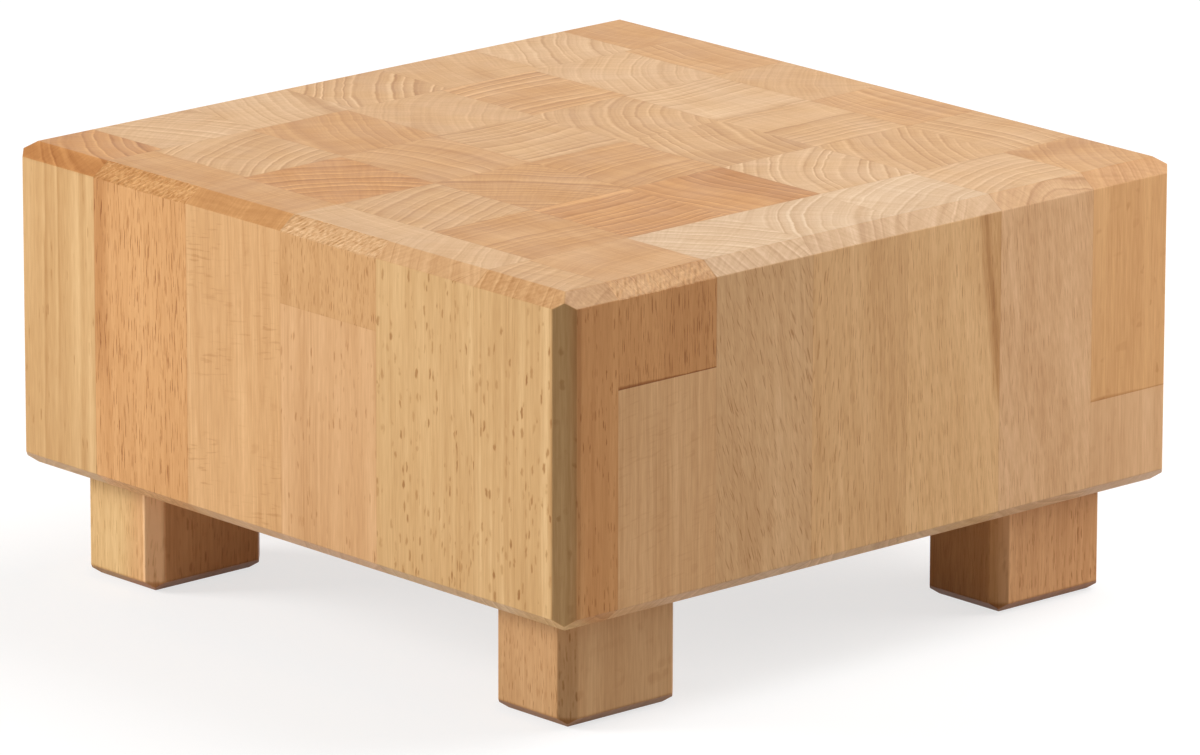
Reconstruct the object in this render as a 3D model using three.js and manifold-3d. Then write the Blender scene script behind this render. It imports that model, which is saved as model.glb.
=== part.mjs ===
// Square end-grain butcher block, glued up from upright beech staves, on four dowelled feet.
// Millimetres, +Z up. The origin lies on the ground at the middle of the block.
// X runs from left to right along the front, Y runs from the front to the back.

import * as THREE from 'three';
import { mergeVertices } from 'three/addons/utils/BufferGeometryUtils.js';
import Module from 'manifold-3d';

// Staves: strips lie side by side along X, and each strip is a row of staves along Y
const STRIP_WIDTH = 51.7;
const EDGE_STRIP_WIDTH = 46.6;
const STAVE_DEPTH = 46.2;
const FRONT_ROW_DEPTH = 27;
const BACK_ROW_DEPTH = 42;
const BLOCK_HEIGHT = 121.5;
const ROWS = 7;

// How far each strip was glued towards the back, one value for each strip from left to right
const STRIP_STAGGER = [5.5, 1.5, 0, 0, 0, -1.5];
const STRIPS = STRIP_STAGGER.length;

// Staves made of two pieces end to end, with the joint's height above the block's underside
const FRONT_JOINT_HEIGHT = 90;
const SIDE_JOINT_HEIGHT = 84;
const REAR_JOINT_HEIGHT = 37;
const END_JOINTS = [
  { strip: 4, row: 1, height: FRONT_JOINT_HEIGHT },
  { strip: STRIPS, row: 2, height: SIDE_JOINT_HEIGHT },
  { strip: STRIPS, row: ROWS, height: REAR_JOINT_HEIGHT },
];

// Chamfers of the block: run is the level leg, drop the upright leg
const TOP_CHAMFER_RUN = 6.8;
const TOP_CHAMFER_DROP = 5;
const BASE_CHAMFER_RUN = 6;
const BASE_CHAMFER_DROP = 5;
const CORNER_CHAMFER = 6;

// Feet
const FOOT_WIDTH = 41;
const FOOT_DEPTH = 55;
const FOOT_HEIGHT = 42;
const FOOT_INSET = 17;
const FOOT_EDGE_CHAMFER = 5;
const FOOT_BASE_RUN = 5;
const FOOT_BASE_DROP = 4;

// Dowels: two in a line along Y in each foot, glued into bores in the foot and the block
const DOWEL_DIAMETER = 10;
const DOWEL_IN_FOOT = 22;
const DOWEL_IN_BLOCK = 28;
const DOWEL_SPACING = 20;
const DOWEL_END_CHAMFER = 1;
const DOWEL_GLUE_GAP = 0.3;
const DOWEL_SIDES = 24;

// Sizes that follow from the ones above
const INNER_STRIPS = STRIPS - 2;
const INNER_ROWS = ROWS - 2;
const BLOCK_LENGTH = 2 * EDGE_STRIP_WIDTH + INNER_STRIPS * STRIP_WIDTH;
const BLOCK_DEPTH = FRONT_ROW_DEPTH + INNER_ROWS * STAVE_DEPTH + BACK_ROW_DEPTH;
const BLOCK_TOP = FOOT_HEIGHT + BLOCK_HEIGHT;
const BORE_DIAMETER = DOWEL_DIAMETER + 2 * DOWEL_GLUE_GAP;

// How far a cutting box reaches past the faces of what it cuts
const CUT_MARGIN = 10;

// Wood tones, from pale sapwood to the darker heart side
const TONES = [
  new THREE.Color(0xe6c49a),
  new THREE.Color(0xdcb184),
  new THREE.Color(0xd8a67c),
  new THREE.Color(0xcf9c6c),
];
const FOOT_TONE = new THREE.Color(0xd9b27f);
const DOWEL_TONE = new THREE.Color(0xe2c69c);
const OILED_ROUGHNESS = 0.55;
const BARE_ROUGHNESS = 0.75;

const wasm = await Module();
wasm.setup();

// Closed solid of a geometry, with its shared corners merged and its empty triangles left out
function solidFrom(geometry) {
  geometry.deleteAttribute('normal');
  geometry.deleteAttribute('uv');
  const merged = mergeVertices(geometry);
  const corners = merged.index.array;
  const kept = [];
  for (let i = 0; i < corners.length; i += 3) {
    const [a, b, c] = corners.slice(i, i + 3);
    if (a !== b && b !== c && c !== a) kept.push(a, b, c);
  }
  const vertProperties = new Float32Array(merged.attributes.position.array);
  const triVerts = new Uint32Array(kept);
  return new wasm.Manifold(new wasm.Mesh({ numProp: 3, vertProperties, triVerts }));
}

// Geometry of a solid
function geometryFrom(solid) {
  const { vertProperties, triVerts } = solid.getMesh();
  const geometry = new THREE.BufferGeometry();
  geometry.setAttribute('position', new THREE.BufferAttribute(new Float32Array(vertProperties), 3));
  geometry.setIndex(new THREE.BufferAttribute(new Uint32Array(triVerts), 1));
  geometry.computeVertexNormals();
  return geometry;
}

// Box between two opposite corners
function boxBetween(low, high) {
  const geometry = new THREE.BoxGeometry(high.x - low.x, high.y - low.y, high.z - low.z);
  geometry.translate((low.x + high.x) / 2, (low.y + high.y) / 2, (low.z + high.z) / 2);
  return solidFrom(geometry);
}

// Straight prism along Z over an outline
function prism(points, length) {
  const outline = new THREE.Shape(points.map(([u, v]) => new THREE.Vector2(u, v)));
  return new THREE.ExtrudeGeometry(outline, { depth: length, bevelEnabled: false });
}

// Outline of a box seen from the side, with its upper and lower edges chamfered, standing on zero
function sideOutline(width, height, top, base) {
  const half = width / 2;
  const points = [
    [half - base.run, 0],
    [half, base.drop],
    [half, height - top.drop],
    [half - top.run, height],
  ];
  const kept = top.run > 0 ? points : points.slice(0, 3);
  return [...kept, ...kept.map(([u, v]) => [-u, v]).reverse()];
}

// Outline of a box seen from above, with its corners chamfered
function planOutline(width, depth, chamfer) {
  const x = width / 2;
  const y = depth / 2;
  const c = chamfer;
  return [
    [x - c, -y], [x, -y + c], [x, y - c], [x - c, y],
    [-x + c, y], [-x, y - c], [-x, -y + c], [-x + c, -y],
  ];
}

// Chamfered box standing on zero: what its plan, front and side outlines have in common
function chamferedBox(width, depth, height, corner, top, base) {
  const plan = prism(planOutline(width, depth, corner), height);
  const front = prism(sideOutline(width, height, top, base), depth);
  front.rotateX(Math.PI / 2);
  front.translate(0, depth / 2, 0);
  const side = prism(sideOutline(depth, height, top, base), width);
  side.rotateX(Math.PI / 2);
  side.rotateZ(Math.PI / 2);
  side.translate(-width / 2, 0, 0);
  return solidFrom(plan).intersect(solidFrom(front)).intersect(solidFrom(side));
}

// Round rod along Z with chamfered ends
function rod(diameter, low, high, chamfer) {
  const radius = diameter / 2;
  const profile = [[0, low], [radius - chamfer, low], [radius, low + chamfer]];
  profile.push([radius, high - chamfer], [radius - chamfer, high], [0, high]);
  const points = profile.map(([r, z]) => new THREE.Vector2(r, z));
  const geometry = new THREE.LatheGeometry(points, DOWEL_SIDES);
  geometry.rotateX(Math.PI / 2);
  return solidFrom(geometry);
}

function wood(colour, roughness) {
  return new THREE.MeshStandardMaterial({ color: colour, roughness, metalness: 0 });
}

// Places of the four feet, from their outer corner inwards
function footPlaces() {
  const x = BLOCK_LENGTH / 2 - FOOT_INSET - FOOT_WIDTH / 2;
  const y = BLOCK_DEPTH / 2 - FOOT_INSET - FOOT_DEPTH / 2;
  return [
    { name: 'front_left', x: -x, y: -y },
    { name: 'front_right', x, y: -y },
    { name: 'back_left', x: -x, y },
    { name: 'back_right', x, y },
  ];
}

// Places of the dowels: number 1 is nearer the front of its foot
function dowelPlaces() {
  return footPlaces().flatMap(({ name, x, y }) => [
    { name: `dowel_${name}_1`, x, y: y - DOWEL_SPACING / 2 },
    { name: `dowel_${name}_2`, x, y: y + DOWEL_SPACING / 2 },
  ]);
}

// Bores for all the dowels, each longer than its dowel by the glue gap at both ends
function dowelBores() {
  const low = FOOT_HEIGHT - DOWEL_IN_FOOT - DOWEL_GLUE_GAP;
  const high = FOOT_HEIGHT + DOWEL_IN_BLOCK + DOWEL_GLUE_GAP;
  const bore = rod(BORE_DIAMETER, low, high, DOWEL_END_CHAMFER);
  return dowelPlaces().map(({ x, y }) => bore.translate([x, y, 0]));
}

function withoutBores(solid, bores) {
  return bores.reduce((rest, bore) => rest.subtract(bore), solid);
}

// Seams between strips, from the left face to the right face
function stripSeams() {
  const left = -BLOCK_LENGTH / 2;
  const seams = [left];
  for (let i = 0; i <= INNER_STRIPS; i += 1) seams.push(left + EDGE_STRIP_WIDTH + i * STRIP_WIDTH);
  return [...seams, BLOCK_LENGTH / 2];
}

// Seams between the staves of one strip, from the front face to the back face
function rowSeams(strip) {
  const front = -BLOCK_DEPTH / 2;
  const first = front + FRONT_ROW_DEPTH + STRIP_STAGGER[strip - 1];
  const seams = [front];
  for (let i = 0; i <= INNER_ROWS; i += 1) seams.push(first + i * STAVE_DEPTH);
  return [...seams, BLOCK_DEPTH / 2];
}

// Levels that a stave's pieces lie between, with the ending of each piece's name
function staveLevels(strip, row) {
  const joint = END_JOINTS.find((entry) => entry.strip === strip && entry.row === row);
  if (!joint) return [{ ending: '', low: FOOT_HEIGHT, high: BLOCK_TOP }];
  const level = FOOT_HEIGHT + joint.height;
  return [
    { ending: '_lower', low: FOOT_HEIGHT, high: level },
    { ending: '_upper', low: level, high: BLOCK_TOP },
  ];
}

// Cutting box of one stave piece, which reaches past the block wherever the block's own faces end it
function staveCell(strip, row, level) {
  const xs = stripSeams();
  const ys = rowSeams(strip);
  const low = new THREE.Vector3(xs[strip - 1], ys[row - 1], level.low);
  const high = new THREE.Vector3(xs[strip], ys[row], level.high);
  if (strip === 1) low.x -= CUT_MARGIN;
  if (strip === STRIPS) high.x += CUT_MARGIN;
  if (row === 1) low.y -= CUT_MARGIN;
  if (row === ROWS) high.y += CUT_MARGIN;
  if (level.low === FOOT_HEIGHT) low.z -= CUT_MARGIN;
  if (level.high === BLOCK_TOP) high.z += CUT_MARGIN;
  return boxBetween(low, high);
}

function addStaves(group, bores) {
  const top = { run: TOP_CHAMFER_RUN, drop: TOP_CHAMFER_DROP };
  const base = { run: BASE_CHAMFER_RUN, drop: BASE_CHAMFER_DROP };
  const envelope = chamferedBox(BLOCK_LENGTH, BLOCK_DEPTH, BLOCK_HEIGHT, CORNER_CHAMFER, top, base);
  const block = withoutBores(envelope.translate([0, 0, FOOT_HEIGHT]), bores);
  for (let strip = 1; strip <= STRIPS; strip += 1) {
    for (let row = 1; row <= ROWS; row += 1) {
      staveLevels(strip, row).forEach((level, piece) => {
        const geometry = geometryFrom(block.intersect(staveCell(strip, row, level)));
        const tone = TONES[(2 * strip + row + piece) % TONES.length];
        const stave = new THREE.Mesh(geometry, wood(tone, OILED_ROUGHNESS));
        stave.name = `stave_strip${strip}_row${row}${level.ending}`;
        group.add(stave);
      });
    }
  }
}

function addFeet(group, bores) {
  const square = { run: 0, drop: 0 };
  const base = { run: FOOT_BASE_RUN, drop: FOOT_BASE_DROP };
  const blank = chamferedBox(FOOT_WIDTH, FOOT_DEPTH, FOOT_HEIGHT, FOOT_EDGE_CHAMFER, square, base);
  for (const { name, x, y } of footPlaces()) {
    const geometry = geometryFrom(withoutBores(blank.translate([x, y, 0]), bores));
    const foot = new THREE.Mesh(geometry, wood(FOOT_TONE, OILED_ROUGHNESS));
    foot.name = `foot_${name}`;
    group.add(foot);
  }
}

function addDowels(group) {
  const low = FOOT_HEIGHT - DOWEL_IN_FOOT;
  const high = FOOT_HEIGHT + DOWEL_IN_BLOCK;
  const blank = rod(DOWEL_DIAMETER, low, high, DOWEL_END_CHAMFER);
  for (const { name, x, y } of dowelPlaces()) {
    const dowel = new THREE.Mesh(geometryFrom(blank), wood(DOWEL_TONE, BARE_ROUGHNESS));
    dowel.name = name;
    dowel.position.set(x, y, 0);
    group.add(dowel);
  }
}

const board = new THREE.Group();
const bores = dowelBores();
addStaves(board, bores);
addFeet(board, bores);
addDowels(board);

export default board;
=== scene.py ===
"""Looks of an oiled end-grain beech butcher block on four feet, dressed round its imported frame.

Every piece takes its place from the frame. Lengths are metres, and millimetres where a name ends in
_mm and inside the wood pattern. The wood is one solid pattern: rings round a heart, rays that run out
from it and fibres that run up the trunk, so the end grain on top, the chamfers and the long grain on
the sides of a stave all agree.
"""

import logging
import math
from dataclasses import dataclass, field
from enum import Enum
from functools import reduce

import bmesh
import bpy
from mathutils import Matrix, Vector, noise


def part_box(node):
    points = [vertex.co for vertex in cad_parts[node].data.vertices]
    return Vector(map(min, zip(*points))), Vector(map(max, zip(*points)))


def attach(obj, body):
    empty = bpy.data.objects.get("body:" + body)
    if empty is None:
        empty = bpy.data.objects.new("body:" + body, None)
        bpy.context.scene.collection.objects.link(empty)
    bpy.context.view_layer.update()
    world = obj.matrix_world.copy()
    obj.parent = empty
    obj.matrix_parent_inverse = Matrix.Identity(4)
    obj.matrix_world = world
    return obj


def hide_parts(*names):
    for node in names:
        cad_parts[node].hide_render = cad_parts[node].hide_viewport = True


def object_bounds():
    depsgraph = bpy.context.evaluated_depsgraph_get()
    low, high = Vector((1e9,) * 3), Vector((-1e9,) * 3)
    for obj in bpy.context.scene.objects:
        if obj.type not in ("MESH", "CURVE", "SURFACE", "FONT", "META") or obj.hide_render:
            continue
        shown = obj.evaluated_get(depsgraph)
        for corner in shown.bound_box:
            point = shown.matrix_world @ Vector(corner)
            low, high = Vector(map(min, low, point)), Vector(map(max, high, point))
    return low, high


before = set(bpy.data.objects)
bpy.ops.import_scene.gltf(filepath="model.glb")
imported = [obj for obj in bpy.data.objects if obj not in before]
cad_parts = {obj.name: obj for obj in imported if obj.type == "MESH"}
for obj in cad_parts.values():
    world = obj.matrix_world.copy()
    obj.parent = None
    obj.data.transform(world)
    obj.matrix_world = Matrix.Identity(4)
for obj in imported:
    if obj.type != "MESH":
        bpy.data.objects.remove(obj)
CAD_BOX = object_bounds()

LOG = logging.getLogger("butcher_block")
BODY = "root"
MM = 0.001
TOP_MM = CAD_BOX[1][2] / MM
# Further off than any face of the block
FAR_MM = 1.0e4
# A piece has room for this many bands in its wood
MAX_STREAKS = 3
# Step of the golden ratio, which spreads seeds evenly however many pieces there are
GOLDEN_STEP = 0.6180339887

Socket = bpy.types.NodeSocket
Source = Socket | float | tuple[float, ...]
Box = tuple[Vector, Vector]
Triple = tuple[float, float, float]


def linear(red: int, green: int, blue: int) -> Triple:
    """Turns a colour as seen on a screen into scene-linear light, by the screen's standard curve.

    Args:
        red: Red from 0 to 255.
        green: Green from 0 to 255.
        blue: Blue from 0 to 255.

    Returns:
        The linear red, green and blue from 0 to 1.
    """
    shares = (part / 255.0 for part in (red, green, blue))
    return tuple(s / 12.92 if s <= 0.04045 else ((s + 0.055) / 1.055) ** 2.4 for s in shares)


def middle_of(box: Box) -> Vector:
    """Gives the middle of a box."""
    return (box[0] + box[1]) / 2.0


class LongGrain(Enum):
    """Colours of oiled long grain, on the sides of a piece."""

    CREAM = linear(221, 182, 127)
    GOLD = linear(222, 175, 122)
    SAND = linear(217, 170, 124)
    STRAW = linear(212, 170, 117)
    HONEY = linear(214, 166, 114)
    ORANGE = linear(212, 158, 103)
    ROSE = linear(211, 163, 114)
    OAT = linear(207, 161, 113)
    WHEAT = linear(208, 165, 112)
    TAN = linear(204, 155, 103)
    RUSSET = linear(211, 154, 103)
    BROWN = linear(197, 139, 85)


class EndGrain(Enum):
    """Colours of oiled end grain, which drinks more oil and is darker."""

    CREAM = linear(210, 175, 137)
    PALE = linear(206, 165, 121)
    STRAW = linear(201, 157, 110)
    HONEY = linear(199, 151, 101)
    TAN = linear(195, 145, 93)
    AMBER = linear(193, 138, 83)


class Rings(Enum):
    """How strongly the growth rings of a piece show."""

    PLAIN = 0.2
    FAINT = 0.45
    CLEAR = 0.65
    BOLD = 0.85
    STRONG = 1.1


@dataclass(frozen=True)
class Marks:
    """What the long grain of a piece shows.

    Attributes:
        share: Share of the rays that show as dark flecks.
        width_mm: Width of the field round one ray.
        height_mm: Height of the field round one ray.
        depth: Depth of a fleck.
        strokes: Depth of the level strokes, where rays are cut along their length.
        bands: How strongly the rings show on the long grain.
    """

    share: float
    width_mm: float
    height_mm: float
    depth: float
    strokes: float
    bands: float


class Figure(Enum):
    """Kinds of long grain."""

    SMOOTH = Marks(0.2, 1.0, 5.0, depth=0.3, strokes=0.0, bands=0.08)
    LINED = Marks(0.25, 0.8, 6.0, depth=0.5, strokes=0.0, bands=0.4)
    BANDED = Marks(0.1, 0.9, 8.0, depth=0.4, strokes=0.0, bands=0.65)
    DASHED = Marks(0.88, 0.54, 10.0, depth=1.0, strokes=0.0, bands=0.25)
    FINE = Marks(0.8, 0.52, 5.4, depth=0.62, strokes=0.0, bands=0.15)
    THREADED = Marks(0.85, 0.34, 8.0, depth=0.52, strokes=0.0, bands=0.15)
    LENSED = Marks(0.42, 1.0, 6.0, depth=0.66, strokes=0.0, bands=0.35)
    STROKED = Marks(0.1, 0.9, 6.0, depth=0.4, strokes=0.18, bands=0.2)
    CROSSED = Marks(0.1, 0.9, 6.0, depth=0.4, strokes=0.07, bands=0.4)


@dataclass(frozen=True)
class Streak:
    """A straight band, darker or paler than the rest of a piece: wood of another tone, and on some
    pieces painted light and shade.

    Attributes:
        toward: Side of the piece that the band lies on, in degrees from +X in plan.
        offset_mm: Distance of the band from the middle of the piece, at the top of the block.
        half_width_mm: Half of the band's width.
        depth: Strength of the band, below zero for a paler one.
        on_end: Share of the strength that shows on end grain.
        foot_mm: Height above the floor where the band dies out, by default never.
        drift_mm: How much further out the band lies where it dies out.
        fill: Strength of the stain beyond the band.
    """

    toward: float = 0.0
    offset_mm: float = 0.0
    half_width_mm: float = 1.0
    depth: float = 0.0
    on_end: float = 1.0
    foot_mm: float = -2000.0
    drift_mm: float = 0.0
    fill: float = 0.0


@dataclass(frozen=True)
class Cut:
    """How one piece of beech was sawn from the trunk.

    Attributes:
        side: Tone of the long grain.
        end: Tone of the end grain.
        heart: Direction of the heart from the piece in plan, in degrees from +X, and its distance in mm.
        rings: How strongly the rings show.
        figure: What the long grain shows.
        pitch_mm: Width of a growth ring.
        lean: Sideways drift of the grain for each step upwards.
        streaks: Up to MAX_STREAKS darker or paler bands: wood of another tone, and on some pieces
            painted light and shade.
        joint: Darkness of the glue line where the piece is joined end to end.
        core: Tone of a core round the heart on the long grain and its radius in mm, in a piece that has
            one; in a stave a red heart, on a foot painted shade on the faces under the block.
        torn: How much the saw tore the end grain of the piece's chamfer.
    """

    side: LongGrain
    end: EndGrain
    heart: tuple[float, float]
    rings: Rings
    figure: Figure = Figure.FINE
    pitch_mm: float = 5.2
    lean: float = 0.0
    streaks: tuple[Streak, ...] = ()
    joint: float = 0.0
    core: tuple[LongGrain, float] | None = None
    torn: float = 0.15


# Streaks that some staves have on a side
WEDGE_STAIN = Streak(90.0, 13.4, 3.4, 0.36, on_end=0.0, foot_mm=80.0, drift_mm=10.4, fill=0.24)
# Painted shade on the upright facet at the front right corner of the block
PAINTED_SHADE_CORNER_FACET = Streak(315.0, 21.2, 2.0, 0.2, on_end=0.0)
CORNER_LINE = Streak(270.0, 5.5, 1.6, 0.22, on_end=0.0)
CORNER_SAP = Streak(0.0, 14.5, 3.5, -0.16, on_end=0.0)
LEFT_SAP = Streak(0.0, 20.5, 3.0, -0.2, on_end=0.0)
LEFT_SHADE = Streak(0.0, 16.0, 2.2, 0.14, on_end=0.0)
REDDENED_EDGE = Streak(180.0, 24.0, 7.0, 0.26, on_end=0.0, foot_mm=70.0)

# Streaks that some staves have on the chamfer round the top, from just below it upwards; the pale ones
# are painted light
BROW_MM = 157.0
LEFT_BROW = Streak(270.0, 13.2, 4.6, 0.2, foot_mm=BROW_MM)
# Painted light on the right chamfer of a torn stave, which the lamps leave dim
PAINTED_LIGHT_RIGHT_BROW = Streak(0.0, 20.0, 4.4, -0.19, foot_mm=BROW_MM)
# Painted light on the torn front chamfers, against the shade that their tears cast
PAINTED_LIGHT_FRONT_BROW = Streak(270.0, 10.6, 4.8, -0.1, foot_mm=BROW_MM)

# Streaks that some staves have on the top
BROAD_STAIN = Streak(90.0, 14.0, 16.0, 0.16)
SHADED_EDGE = Streak(73.0, 20.0, 5.0, 0.24)
PALE_EDGE = Streak(180.0, 23.5, 2.6, -0.3)
PALE_RIGHT = Streak(0.0, 12.0, 16.0, -0.08)
PALE_LEFT = Streak(180.0, 14.0, 15.0, -0.1)
AMBER_RIGHT = Streak(0.0, 16.0, 18.0, 0.12)
AMBER_TIP = Streak(180.0, 15.0, 10.0, 0.2)

# Painted light and shade on the upright facet at the front right corner of a foot, which the key lamp
# misses; the facet lies this far from the foot's middle
FACET_MM = 30.4
PAINTED_LIGHT_FACET = Streak(315.0, FACET_MM, 1.2, -0.42, on_end=0.0)
PAINTED_SOFT_LIGHT_FACET = Streak(315.0, FACET_MM, 1.2, -0.14, on_end=0.0)
SHADED_FACET = Streak(315.0, FACET_MM, 3.4, 0.1, on_end=0.0)

# The cutting list, strip 1 at the left and row 1 at the front
STAVE_CUTS: dict[str, Cut] = {
    "strip1_row1": Cut(
        LongGrain.WHEAT, EndGrain.AMBER, (58, 110), Rings.STRONG, Figure.BANDED, 5.6,
        streaks=(LEFT_SAP, LEFT_SHADE, LEFT_BROW),
    ),
    "strip1_row2": Cut(LongGrain.STRAW, EndGrain.PALE, (-60, 150), Rings.CLEAR),
    "strip1_row3": Cut(LongGrain.HONEY, EndGrain.PALE, (70, 150), Rings.FAINT, streaks=(SHADED_EDGE,)),
    "strip1_row4": Cut(LongGrain.HONEY, EndGrain.STRAW, (50, 130), Rings.STRONG),
    "strip1_row5": Cut(LongGrain.TAN, EndGrain.STRAW, (70, 150), Rings.PLAIN, Figure.DASHED),
    "strip1_row6": Cut(LongGrain.STRAW, EndGrain.PALE, (58, 140), Rings.CLEAR),
    "strip1_row7": Cut(LongGrain.HONEY, EndGrain.TAN, (100, 120), Rings.PLAIN, Figure.SMOOTH),
    "strip2_row1": Cut(
        LongGrain.ORANGE, EndGrain.TAN, (90, 160), Rings.PLAIN, Figure.DASHED,
        streaks=(REDDENED_EDGE, PAINTED_LIGHT_FRONT_BROW), torn=1.0,
    ),
    "strip2_row2": Cut(LongGrain.STRAW, EndGrain.STRAW, (25, 80), Rings.BOLD),
    "strip2_row3": Cut(LongGrain.HONEY, EndGrain.TAN, (65, 170), Rings.FAINT),
    "strip2_row4": Cut(LongGrain.ROSE, EndGrain.STRAW, (45, 140), Rings.PLAIN),
    "strip2_row5": Cut(LongGrain.HONEY, EndGrain.HONEY, (0, 250), Rings.STRONG, pitch_mm=5.7),
    "strip2_row6": Cut(LongGrain.STRAW, EndGrain.PALE, (52, 110), Rings.FAINT),
    "strip2_row7": Cut(LongGrain.HONEY, EndGrain.HONEY, (88, 200), Rings.CLEAR, Figure.DASHED, 6.6),
    "strip3_row1": Cut(
        LongGrain.HONEY, EndGrain.TAN, (4, 220), Rings.PLAIN, Figure.STROKED, lean=0.02
    ),
    "strip3_row2": Cut(LongGrain.ROSE, EndGrain.AMBER, (-35, 140), Rings.STRONG, pitch_mm=6.0),
    "strip3_row3": Cut(LongGrain.HONEY, EndGrain.HONEY, (-80, 75), Rings.CLEAR, pitch_mm=8.0),
    "strip3_row4": Cut(LongGrain.STRAW, EndGrain.STRAW, (180, 220), Rings.BOLD, pitch_mm=5.6),
    "strip3_row5": Cut(LongGrain.HONEY, EndGrain.STRAW, (55, 60), Rings.CLEAR),
    "strip3_row6": Cut(LongGrain.ROSE, EndGrain.PALE, (180, 200), Rings.BOLD, streaks=(PALE_RIGHT,)),
    "strip3_row7": Cut(LongGrain.ROSE, EndGrain.STRAW, (45, 150), Rings.PLAIN, Figure.SMOOTH),
    "strip4_row1_lower": Cut(LongGrain.ROSE, EndGrain.HONEY, (40, 150), Rings.FAINT, Figure.LINED),
    "strip4_row1_upper": Cut(
        LongGrain.TAN, EndGrain.PALE, (85, 150), Rings.PLAIN, Figure.FINE,
        streaks=(PAINTED_LIGHT_FRONT_BROW,), joint=0.03, torn=0.8,
    ),
    "strip4_row2": Cut(LongGrain.STRAW, EndGrain.STRAW, (20, 150), Rings.CLEAR),
    "strip4_row3": Cut(LongGrain.TAN, EndGrain.TAN, (-50, 150), Rings.STRONG, pitch_mm=4.4),
    "strip4_row4": Cut(LongGrain.HONEY, EndGrain.TAN, (5, 200), Rings.BOLD, pitch_mm=5.0),
    "strip4_row5": Cut(LongGrain.HONEY, EndGrain.STRAW, (75, 120), Rings.CLEAR, streaks=(AMBER_RIGHT,)),
    "strip4_row6": Cut(LongGrain.STRAW, EndGrain.STRAW, (0, 200), Rings.BOLD, streaks=(PALE_LEFT,)),
    "strip4_row7": Cut(LongGrain.HONEY, EndGrain.HONEY, (92, 180), Rings.CLEAR, Figure.DASHED, 4.6),
    "strip5_row1": Cut(LongGrain.STRAW, EndGrain.PALE, (35, 120), Rings.FAINT, Figure.LENSED, 5.6),
    "strip5_row2": Cut(LongGrain.HONEY, EndGrain.TAN, (0, 180), Rings.CLEAR),
    "strip5_row3": Cut(
        LongGrain.TAN, EndGrain.AMBER, (180, 180), Rings.STRONG, pitch_mm=4.5, streaks=(PALE_EDGE,)
    ),
    "strip5_row4": Cut(
        LongGrain.TAN, EndGrain.AMBER, (97, 160), Rings.BOLD, pitch_mm=9.0, streaks=(BROAD_STAIN,)
    ),
    "strip5_row5": Cut(LongGrain.HONEY, EndGrain.PALE, (52, 90), Rings.BOLD),
    "strip5_row6": Cut(LongGrain.HONEY, EndGrain.STRAW, (63, 160), Rings.CLEAR),
    "strip5_row7": Cut(LongGrain.ROSE, EndGrain.STRAW, (-85, 150), Rings.BOLD, Figure.LINED),
    "strip6_row1": Cut(
        LongGrain.STRAW, EndGrain.STRAW, (25, 110), Rings.CLEAR, Figure.LENSED, 5.4,
        streaks=(PAINTED_SHADE_CORNER_FACET, CORNER_SAP, CORNER_LINE), core=(LongGrain.BROWN, 93.0), torn=0.45,
    ),
    "strip6_row2_lower": Cut(
        LongGrain.ROSE, EndGrain.HONEY, (88, 200), Rings.FAINT, Figure.CROSSED, 4.2
    ),
    "strip6_row2_upper": Cut(
        LongGrain.BROWN, EndGrain.HONEY, (10, 150), Rings.PLAIN, Figure.DASHED,
        streaks=(PAINTED_LIGHT_RIGHT_BROW,), joint=1.0, torn=0.5,
    ),
    "strip6_row3": Cut(
        LongGrain.OAT, EndGrain.CREAM, (-55, 160), Rings.CLEAR, Figure.THREADED, lean=0.1
    ),
    "strip6_row4": Cut(
        LongGrain.HONEY, EndGrain.CREAM, (45, 85), Rings.CLEAR, Figure.THREADED, lean=0.04
    ),
    "strip6_row5": Cut(
        LongGrain.GOLD, EndGrain.CREAM, (25, 120), Rings.FAINT, Figure.THREADED, lean=0.06,
        streaks=(WEDGE_STAIN,),
    ),
    "strip6_row6": Cut(
        LongGrain.SAND, EndGrain.PALE, (15, 70), Rings.CLEAR, Figure.THREADED, lean=0.1
    ),
    "strip6_row7_lower": Cut(LongGrain.SAND, EndGrain.HONEY, (70, 160), Rings.PLAIN, Figure.SMOOTH),
    "strip6_row7_upper": Cut(
        LongGrain.ORANGE, EndGrain.HONEY, (60, 90), Rings.FAINT, Figure.SMOOTH,
        streaks=(AMBER_TIP,), joint=0.35,
    ),
}

# On the front left and back right feet the core is painted shade on the faces that turn in under the
# block, and the facet streaks are painted light and shade
FOOT_CUTS: dict[str, Cut] = {
    "front_left": Cut(
        LongGrain.CREAM, EndGrain.HONEY, (60, 120), Rings.FAINT, Figure.THREADED,
        streaks=(PAINTED_LIGHT_FACET,), core=(LongGrain.RUSSET, 140.0),
    ),
    "front_right": Cut(
        LongGrain.OAT, EndGrain.HONEY, (80, 140), Rings.FAINT, Figure.FINE, streaks=(SHADED_FACET,)
    ),
    "back_left": Cut(LongGrain.HONEY, EndGrain.HONEY, (-70, 130), Rings.FAINT, Figure.FINE),
    "back_right": Cut(
        LongGrain.RUSSET, EndGrain.HONEY, (-110, 110), Rings.FAINT, Figure.THREADED,
        streaks=(PAINTED_SOFT_LIGHT_FACET,), core=(LongGrain.BROWN, 96.0),
    ),
}

DOWEL_CUT = Cut(LongGrain.CREAM, EndGrain.STRAW, (30, 90), Rings.FAINT, Figure.FINE)


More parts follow.
